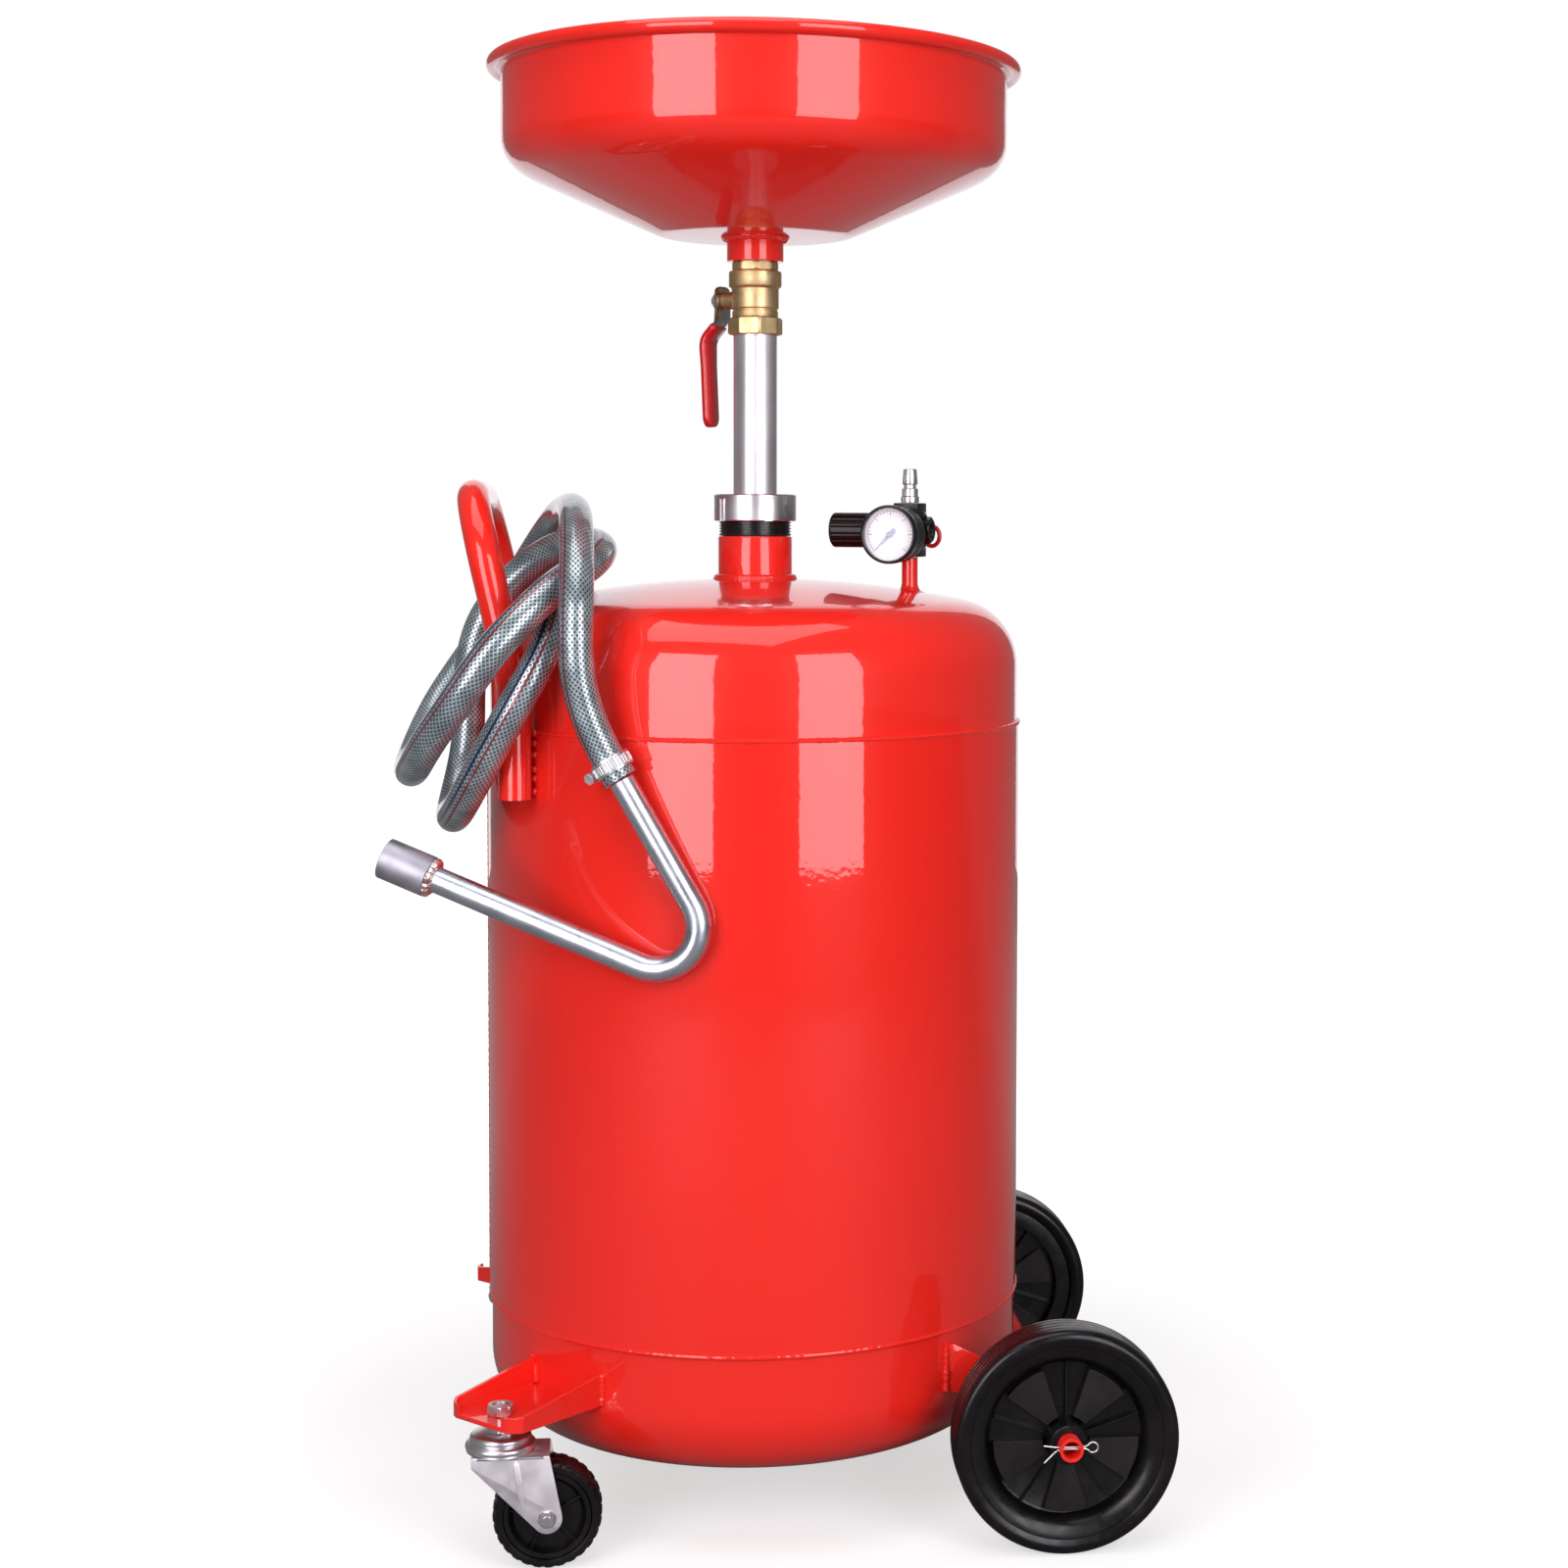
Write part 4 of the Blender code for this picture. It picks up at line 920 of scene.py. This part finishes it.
def make_handle():
    piece("push_handle", sweep(handle_line(), 0.0117, 40, inner=0.0101), RED, "root", ["handle_tube"])
    sizes = (0.0010, 0.0022, 0.0023, 0.0009)
    for side in (-1, 1):
        foot = Vector((HANDLE_FOOT.x, side * HANDLE_FOOT.y, 0))
        touch = foot.normalized() * (SHELL_R + 0.0004)
        for flank in (-1, 1):
            spread = Vector((-touch.y, touch.x, 0)).normalized() * flank * 0.0052
            for i in range(6):
                z = 0.533 + 0.0085 * i + 0.0012 * math.sin(i * 2.3)
                blob = [touch + spread + Vector((0, 0, z + rise))
                        for rise in (-0.0026, -0.001, 0.001, 0.0026)]
                piece(f"handle_weld_{side + 1}{flank + 1}{i}", sweep(blob, lambda k: sizes[k], 10),
                      RED_WELD, "root", angle=80)


make_handle()


# ---------------------------------------------------------------- casters
def make_bracket(side, azimuth):
    """A channel, open upwards, welded to the bottom head by its root."""
    half, sheet, floor = 0.035, 0.0035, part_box(f"caster_bracket_{side}")[0].z
    stations = ((0.1945, half, 0.0232), (0.2690, half, 0.0112), (0.2750, half - 0.0055, 0.0106),
                (0.2770, half - 0.0105, 0.0104))
    sections = []
    for x, wide, tall in stations:
        outside, inside = wide, wide - sheet
        section = [(-outside, 0), (outside, 0), (outside, tall), (inside, tall), (inside, sheet),
                   (-inside, sheet), (-inside, tall), (-outside, tall)]
        sections.append([(x, y, floor + z) for y, z in section])
    place = ON_AXIS @ turn(azimuth, "Z")
    piece(f"bracket_channel_{side}", loft(sections), RED, "root", [f"caster_bracket_{side}"],
          place=place, bevel=0.0012)

    def on_head(y, proud, heights):
        reach = math.sqrt(HEAD_R ** 2 - y ** 2) + proud
        return [Vector((reach, y, floor + z)) for z in heights]

    for flank in (-1, 1):
        y = flank * (half + 0.0006)
        rise = on_head(y, 0.0006, [0.001 + 0.0225 * i / 20 for i in range(21)])
        tack = on_head(y - flank * 0.0055, 0.001, (0.005, 0.009, 0.014, 0.018))
        piece(f"bracket_weld_{side}_{flank + 1}", bead(rise, 0.0024, 3.0 + flank, 0.35, 10), RED_WELD,
              "root", place=place, angle=80)
        piece(f"bracket_tack_{side}_{flank + 1}", bead(tack, 0.0026, 8.0 + flank, 0.4, 10), RED_WELD,
              "root", place=place, angle=80)


def make_bolt(side, place):
    """The swivel bolt: its head on the bracket, a spacer nut under it and a nut below the fork."""
    ease = 0.0011
    hexes = (("head", 0.1068, 0.1135, 0.0098), ("spacer", 0.0948, 0.1026, 0.0098),
             ("nut", 0.0695, 0.0790, 0.0085))
    for name, low, high, radius in hexes:
        outline = [(0.0056, low), (radius - ease, low), (radius, low + 0.0006), (radius, high - 0.0006),
                   (radius - ease, high), (0.0056, high)]
        nodes = [f"caster_bolt_{side}"] if name == "head" else ()
        piece(f"swivel_{name}_{side}", flatted(outline, 6, radius, 0.35, 120), ZINC, "root", nodes,
              place)
    shank = [(0, 0.0695), (0.0050, 0.0695), (0.0054, 0.0700), (0.0054, 0.1122), (0.0046, 0.1128),
             (0, 0.1128)]
    piece(f"swivel_shank_{side}", lathe(shank, 40, closed=False), ZINC, "root", (), place)


def make_race(side, place):
    """The swivel race: a wide pressed cup with a narrower one on it."""
    low, high = 0.0823, 0.0945
    outline = [(0.0062, low), (0.0238, low)] + arc((0.0215, low + 0.0032), 0.0030, -60, 70, 7)
    outline += [(0.0212, low + 0.0064)] + arc((0.0185, low + 0.0088), 0.0028, -40, 80, 6)
    outline += [(0.0130, high), (0.0062, high)]
    piece(f"swivel_race_{side}", lathe(outline, 96), CHROME, f"caster_{side}", [f"caster_race_{side}"],
          place)


def make_fork(side, place):
    """Two pressed legs with a raised rib each, under a flat crown, and the riveted axle."""
    trail, axle_z = CASTER_HUB
    sheet, half, front, back = 0.0025, 0.0185, -0.0195, 0.0338
    body = f"caster_{side}"
    leg = [(front, FORK_TOP), (front, FORK_TOP - 0.0075)] + arc(CASTER_HUB, 0.0105, 217, 371, 14)
    leg = rounded(leg + [(back, FORK_TOP)], 0.0012)
    hole = [(trail + x, axle_z + y) for x, y in polygon(0.0043, 24)]
    squash, sizes = 0.45, (0.0010, 0.0024, 0.0028, 0.0026, 0.0020, 0.0007)
    for flank, word, nodes in ((-1, "near", [f"caster_fork_{side}"]), (1, "far", ())):
        piece(f"fork_leg_{word}_{side}", plate([leg, hole], sheet, 0.0006), PRESSED, body, nodes,
              place @ at(0, flank * (half - sheet / 2), 0) @ turn(90, "X"))
        rib = [Vector((0.0110 + 0.0045 * t, flank * half, 0.0790 - 0.0320 * t))
               for t in (0, 0.1, 0.3, 0.6, 0.85, 1)]
        raised = place @ at(0, flank * half * (1 - squash), 0) @ Matrix.Diagonal((1, squash, 1, 1))
        piece(f"fork_rib_{flank + 1}_{side}", sweep(rib, lambda k: sizes[k], 20), PRESSED, body, (),
              raised, angle=70)
    crown = rounded(oblong(front, back, -half, half), 0.004, 5)
    piece(f"fork_crown_{side}", plate([crown, polygon(0.0060, 32)], sheet, 0.0006), PRESSED, body, (),
          place @ at(0, 0, FORK_TOP - sheet / 2))
    hub_place = place @ at(trail, 0, axle_z) @ turn(90, "X")
    rivet = [(0, -0.0212), (0.0030, -0.0210), (0.0052, -0.0204), (0.0062, -0.0193), (0.0062, -0.0188),
             (0.0038, -0.0188), (0.0038, 0.0188), (0.0062, 0.0188), (0.0062, 0.0193), (0.0052, 0.0204),
             (0.0042, 0.0205), (0.0038, 0.0198), (0.0028, 0.0198), (0.0024, 0.0210), (0, 0.0212)]
    piece(f"axle_rivet_{side}", lathe(rivet, 48, closed=False), CHROME, body, [f"caster_axle_{side}"],
          hub_place)
    return hub_place


def make_caster_wheel(side, place):
    body = f"caster_wheel_{side}"
    rim = [(0.0044, -0.0138), (0.0086, -0.0138), (0.0094, -0.0128), (0.0100, -0.0070), (0.0235, -0.0062),
           (0.0255, -0.0080), (0.0268, -0.0118), (0.0300, -0.0122), (0.0305, -0.0110)]
    piece(f"caster_rim_{side}", lathe(mirrored(rim), 96), BLACK, body, [f"caster_wheel_{side}"],
          place)
    rib = rounded([(0.0095, -0.0008), (0.0262, -0.0006), (0.0262, 0.0006), (0.0095, 0.0008)], 0.0003)
    for i in range(5):
        piece(f"caster_rib_{i}_{side}", prism(rib, -0.0100, 0.0100), BLACK, body, (),
              place @ turn(72 * i + 28, "Z"), bevel=0.0003)
    blocks = 28

    def tread(angle, r, z):
        """Staggered blocks cut into the tread's two shoulders."""
        if r < 0.0352:
            return r, z
        stagger = 0.5 if z > 0 else 0.0
        share = (angle / (2 * math.pi) * blocks + stagger) % 1.0
        cut = share < 0.30 and abs(z) > 0.0020
        return (r - 0.0006 if cut else r), z

    tyre = [(0.0309, -0.0125), (0.0330, -0.0131), (0.0348, -0.0132), (0.0362, -0.0122), (0.0373, -0.0100),
            (0.0377, -0.0070), (0.0377, -0.0028), (0.0371, -0.0014)]
    piece(f"caster_tread_{side}", lathe(mirrored(tyre), blocks * 8, shape=tread), RUBBER, body,
          [f"caster_tyre_{side}"], place)


def make_caster(side, azimuth):
    make_bracket(side, azimuth)
    angle = math.radians(azimuth)
    place = ON_AXIS @ at(CASTER_REACH * math.cos(angle), CASTER_REACH * math.sin(angle), 0)
    make_bolt(side, place)
    make_race(side, place)
    make_caster_wheel(side, make_fork(side, place))


make_caster("near", -136)
make_caster("far", 136)


# ---------------------------------------------------------------- rear axle and wheels
def make_axle():
    back, height = REAR_HUB
    hub, half = ON_AXIS @ at(back, 0, height), 0.2225
    tube = rounded(oblong(0.0060, 0.0085, -half, half), 0.0006)
    piece("axle_tube", lathe(tube, 64), RED, "root", ["rear_axle"], place=hub @ turn(90, "X"))
    outline = [(0.1250, 0.1358), (0.1352, 0.1358), (back, 0.0955)]
    outline += arc(REAR_HUB, 0.0155, 75, -105, 12) + [(0.1352, 0.1010), (0.1250, 0.1010)]
    hole = [(back + x, height + y) for x, y in polygon(0.0087, 32)]
    arm, sheet = 0.150, 0.004
    wall = math.sqrt(HEAD_R ** 2 - (arm + sheet / 2) ** 2)
    for side, sign in (("near", -1), ("far", 1)):
        place = ON_AXIS @ at(0, sign * arm, 0)
        piece(f"axle_plate_{side}", plate([outline, hole], sheet, 0.0005), RED, "root",
              [f"axle_arm_{side}"], place=place @ turn(90, "X"))
        for flank in (-1, 1):
            edge = [Vector((wall + 0.0012, flank * 0.0026, 0.1020 + 0.0335 * i / 24)) for i in range(25)]
            piece(f"arm_weld_{side}_{flank + 1}", bead(edge, 0.0022, 6.0 + flank, 0.35, 10), RED_WELD,
                  "root", place=place, angle=80)
        ring = bead(ring_path(0.0094, 0.0, 60), 0.0014, 2.0, 0.3, 10, True)
        piece(f"axle_weld_{side}", ring, RED_WELD, "root",
              place=hub @ at(0, sign * (arm - 0.0026), 0) @ turn(90, "X"), angle=80)
        make_pin(side, hub @ at(0, sign * (half - 0.0060), 0))


def make_pin(side, place):
    """A split pin: two half wires that part at -X, with an eye at +X."""
    wire = 0.0007
    eye = arc((0.0158, 0.0), 0.0036, 150, -150, 20)
    upper = [(-0.0190, 0.0022), (-0.0110, 0.0010), (-0.0080, wire), (0.0105, wire)] + eye
    lower = [(0.0105, -wire), (-0.0075, -wire), (-0.0105, -0.0022), (-0.0185, -0.0098)]
    path = [Vector((x, 0, z)) for x, z in upper + lower]
    piece(f"cotter_{side}", sweep(path, wire, 14), CHROME, "root", [f"split_pin_{side}"], place,
          angle=70)


def sector(inner, outer, start, end, steps=10):
    return arc((0, 0), outer, start, end, steps) + arc((0, 0), inner, end, start, steps)


def make_rear_wheel(side, sign):
    body = f"rear_wheel_{side}"
    place = ON_AXIS @ at(REAR_HUB[0], sign * REAR_TRACK, REAR_HUB[1]) @ turn(-90 * sign, "X")
    face = [(0.0092, 0.0205), (0.0128, 0.0205), (0.0138, 0.0196), (0.0142, 0.0060), (0.0160, 0.0020),
            (0.0530, 0.0020), (0.0543, 0.0026), (0.0550, 0.0048), (0.0562, 0.0085), (0.0580, 0.0112),
            (0.0605, 0.0132), (0.0635, 0.0146), (0.0665, 0.0155), (0.0684, 0.0158)]
    back = [(0.0685, -0.0130), (0.0670, -0.0136), (0.0560, -0.0130), (0.0548, -0.0040), (0.0160, -0.0040),
            (0.0138, -0.0060), (0.0138, -0.0160), (0.0092, -0.0160)]
    piece(f"wheel_dish_{side}", lathe(face + back, 128), BLACK, body, [f"rear_wheel_{side}"],
          place)
    rib = rounded([(0.0140, -0.0005), (0.0545, -0.0004), (0.0545, 0.0004), (0.0140, 0.0005)], 0.0002)
    for i in range(5):
        angle = 72 * i - 90
        raised = rounded(sector(0.0165, 0.0520, angle - 17.5, angle + 17.5), 0.0012, 2)
        for name, low, high in (("wedge", 0.0018, 0.0068), ("back_wedge", -0.0078, -0.0038)):
            piece(f"wheel_{name}_{i}_{side}", prism(raised, low, high), WEDGE, body, (),
                  place, bevel=0.0006)
        for name, low, high in (("rib", 0.0018, 0.0062), ("back_rib", -0.0096, -0.0038)):
            piece(f"wheel_{name}_{i}_{side}", prism(rib, low, high), BLACK, body, (),
                  place @ turn(angle + 36, "Z"))
    tread = [(0.0683, -0.0160), (0.0712, -0.0176), (0.0745, -0.0180), (0.0772, -0.0172), (0.0790, -0.0154),
             (0.0798, -0.0130)]
    for z in (-0.0095, -0.0035, 0.0025, 0.0085):
        tread += [(0.0800, z - 0.0009), (0.0790, z - 0.0005), (0.0790, z + 0.0005), (0.0800, z + 0.0009)]
    tread += [(0.0798, 0.0130), (0.0790, 0.0154), (0.0772, 0.0172), (0.0745, 0.0180), (0.0725, 0.0176),
              (0.0705, 0.0170), (0.0688, 0.0162), (0.0683, 0.0152)]
    piece(f"wheel_tyre_{side}", lathe(tread, 160), RUBBER, body, [f"rear_tyre_{side}"],
          place)


make_axle()
make_rear_wheel("near", -1)
make_rear_wheel("far", 1)


# ---------------------------------------------------------------- regulator and gauge
def make_regulator():
    place = Matrix.Translation(REGULATOR) @ turn(-25, "Z")
    z0 = REGULATOR.z
    foot = dome_height(0.117) - z0
    riser = oblong(0.0040, 0.00605, 0.655 - z0, 0.6982 - z0)
    piece("riser_pipe", lathe(riser, 48), RED, "root", ["regulator_riser"], place=place)
    flare = [(0.0062, foot - 0.004), (0.0118, foot - 0.0022)]
    for angle in map(math.radians, range(10, 91, 16)):
        flare.append((0.0062 + 0.0056 * (1 - math.sin(angle)),
                      foot - 0.0015 + 0.0062 * (1 - math.cos(angle))))
    piece("riser_flare", lathe(flare, 48), RED_WELD, "root", place=place)

    block = rounded(oblong(-0.0100, 0.0100, -0.0100, 0.0100), 0.0015)
    piece("regulator_block", prism(block, 0.6985 - z0, 0.739 - z0), BLACK, "root", ["regulator_body"],
          place, bevel=0.0008)
    toward_knob = place @ turn(-90, "Y")
    bonnet = [(0, -0.0120), (0.0120, -0.0120), (0.0136, -0.0108), (0.0155, -0.0100), (0.0155, 0.0180),
              (0.0150, 0.0192), (0.0140, 0.0196), (0.0140, 0.0210), (0.0150, 0.0216), (0.0152, 0.0272),
              (0.0146, 0.0280), (0, 0.0280)]
    piece("regulator_bonnet", lathe(bonnet, 96, closed=False), BLACK, "root", (),
          toward_knob)
    plug = [(0.0001, -0.0150), (0.0050, -0.0150), (0.0058, -0.0172), (0.0086, -0.0175),
            (0.0100, -0.0168), (0.0105, -0.0155), (0.0105, -0.0118), (0.0001, -0.0118)]
    piece("port_plug", flatted(plug, 6, 0.0105, 0.2, 96), BLACK, "root", (), toward_knob)
    boss = rounded(oblong(0.0030, 0.0085, 0.0050, 0.0195), 0.0006)
    piece("gauge_boss_ring", lathe(boss, 48), BLACK, "root", (), place @ turn(90, "X"))

    def flutes(angle, r, z):
        wave = 0.5 + 0.5 * math.cos(angle * 14)
        return (r - 0.0006 * (wave ** 10) if 0.0305 < z < 0.0590 and r > 0.0128 else r), z

    knob = [(0, 0.0285), (0.0126, 0.0285), (0.0132, 0.0292), (0.0132, 0.0304), (0.0132, 0.0306),
            (0.0132, 0.0589), (0.0132, 0.0592), (0.0129, 0.0602), (0.0118, 0.0611), (0.0100, 0.0615),
            (0, 0.0615)]
    piece("regulator_dial_knob", lathe(knob, 216, closed=False, shape=flutes), BLACK, "regulator_knob",
          ["regulator_knob"], toward_knob)
    make_gauge(place)

    nipple = [(0.0030, 0.7393), (0.0066, 0.7393), (0.0069, 0.7397), (0.0069, 0.7434), (0.0061, 0.7444),
              (0.0061, 0.7490), (0.0058, 0.7498), (0.0047, 0.7504), (0.0046, 0.7524), (0.0055, 0.7530),
              (0.0058, 0.7538), (0.0050, 0.7638), (0.0047, 0.7645), (0.0033, 0.7645), (0.0030, 0.7640)]
    piece("air_nipple", lathe([(r, z - z0) for r, z in nipple], 64), CHROME, "root", ["air_plug"],
          place)
    make_relief(place)


def make_gauge(place):
    front = place @ at(0, 0, -0.003) @ turn(90, "X")
    case = [(0.0001, 0.0198), (0.0055, 0.0198), (0.0055, 0.0240), (0.0120, 0.0243), (0.0196, 0.0247),
            (0.0206, 0.0255)]
    for z in (0.0275, 0.0325, 0.0375):
        case += [(0.0206, z), (0.0209, z + 0.0006), (0.0209, z + 0.0030), (0.0206, z + 0.0036)]
    case += [(0.0207, 0.0425), (0.0214, 0.0432), (0.0217, 0.0440), (0.0217, 0.0500), (0.0213, 0.0511),
             (0.0204, 0.0515), (0.0199, 0.0515), (0.0195, 0.0512), (0.0195, 0.0510), (0.0203, 0.0509),
             (0.0203, 0.0450), (0.0001, 0.0450)]
    piece("gauge_housing", lathe(case, 128), BLACK, "root", ["gauge_case"], front)
    disc = 0.0201
    piece("gauge_face", lathe(oblong(0, disc, 0.0451, 0.0454), 96, closed=False), DIAL, "root", (),
          front)
    piece("gauge_window", lathe(oblong(0, disc, 0.0493, 0.0508), 96, closed=False), GLASS, "root",
          ["gauge_lens"], front)
    scale_r, start, sweep_angle, ticks = 0.0172, 225, 270, 30
    for i in range(ticks + 1):
        long, wide = (0.0032, 0.00034) if i % 5 == 0 else (0.0018, 0.00020)
        tick = prism(oblong(scale_r - long, scale_r, -wide, wide), 0.04545, 0.04560)
        piece(f"gauge_tick_{i:02d}", tick, INK, "root", (),
              front @ turn(start - sweep_angle / ticks * i, "Z"))
    scale = plate([sector(scale_r, scale_r + 0.0003, start, start - sweep_angle, 90)], 0.0002, 0.0)
    piece("gauge_scale_line", scale, INK, "root", (), front @ at(0, 0, 0.0456))
    pointer = [(0.0000, -0.0014), (0.0090, -0.0006), (0.0138, -0.0001), (0.0138, 0.0001), (0.0090, 0.0006),
               (0.0000, 0.0014), (-0.0050, 0.0018), (-0.0054, 0.0), (-0.0050, -0.0018)]
    piece("gauge_pointer", prism(pointer, 0.0463, 0.0469), NEEDLE, "gauge_needle", ["gauge_needle"],
          front @ turn(start, "Z"))
    hub = [(0, 0.0460), (0.0022, 0.0460), (0.0022, 0.0476), (0.0016, 0.0480), (0, 0.0480)]
    piece("gauge_pointer_hub", lathe(hub, 32, closed=False), NEEDLE, "gauge_needle", (),
          front)


def make_relief(place):
    outward = place @ at(0.0045, 0, 0) @ turn(-90, "X")
    valve = [(0.0024, 0.0150), (0.0055, 0.0150), (0.0058, 0.0156), (0.0058, 0.0200), (0.0050, 0.0206),
             (0.0050, 0.0236), (0.0046, 0.0240), (0.0024, 0.0240)]
    piece("relief_body", flatted(valve, 6, 0.0058, 0.0, 96), BRASS, "root", ["relief_valve"],
          outward)
    pin = [(0, 0.0200), (0.0018, 0.0200), (0.0018, 0.0283), (0.0026, 0.0288), (0.0026, 0.0300),
           (0, 0.0302)]
    piece("relief_stem", lathe(pin, 32, closed=False), VINYL, "relief_pull", ["relief_pull"],
          outward)
    ring = [Vector((0.0032 + 0.0062 * x, 0.0045 + 0.0075 * y, 0.0296)) for x, y in polygon(1, 64)]
    piece("relief_ring", sweep(ring, 0.0017, 16, loop=True), VINYL, "relief_pull", (),
          outward)


make_regulator()


# ---------------------------------------------------------------- oil outlet
def make_outlet():
    place = ON_AXIS @ at(-0.133, 0.064, 0.684)
    stub = [(0.0001, -0.0135), (0.0104, -0.0135), (0.0112, -0.0125), (0.0112, -0.0080), (0.0100, -0.0070),
            (0.0100, 0.0090), (0.0092, 0.0104), (0.0001, 0.0108)]
    piece("elbow_stub", flatted(stub, 6, 0.0112, 0.0, 96), BRASS, "root", ["outlet_elbow"],
          place)
    arm = [(0.0001, 0.0), (0.0095, 0.0), (0.0095, 0.0118), (0.0088, 0.0128), (0.0088, 0.0150),
           (0.0080, 0.0157), (0.0001, 0.0157)]
    piece("elbow_outlet", lathe(arm, 64), BRASS, "root", (), place @ turn(90, "X"))
    keep("dip_tube", STEEL)


make_outlet()
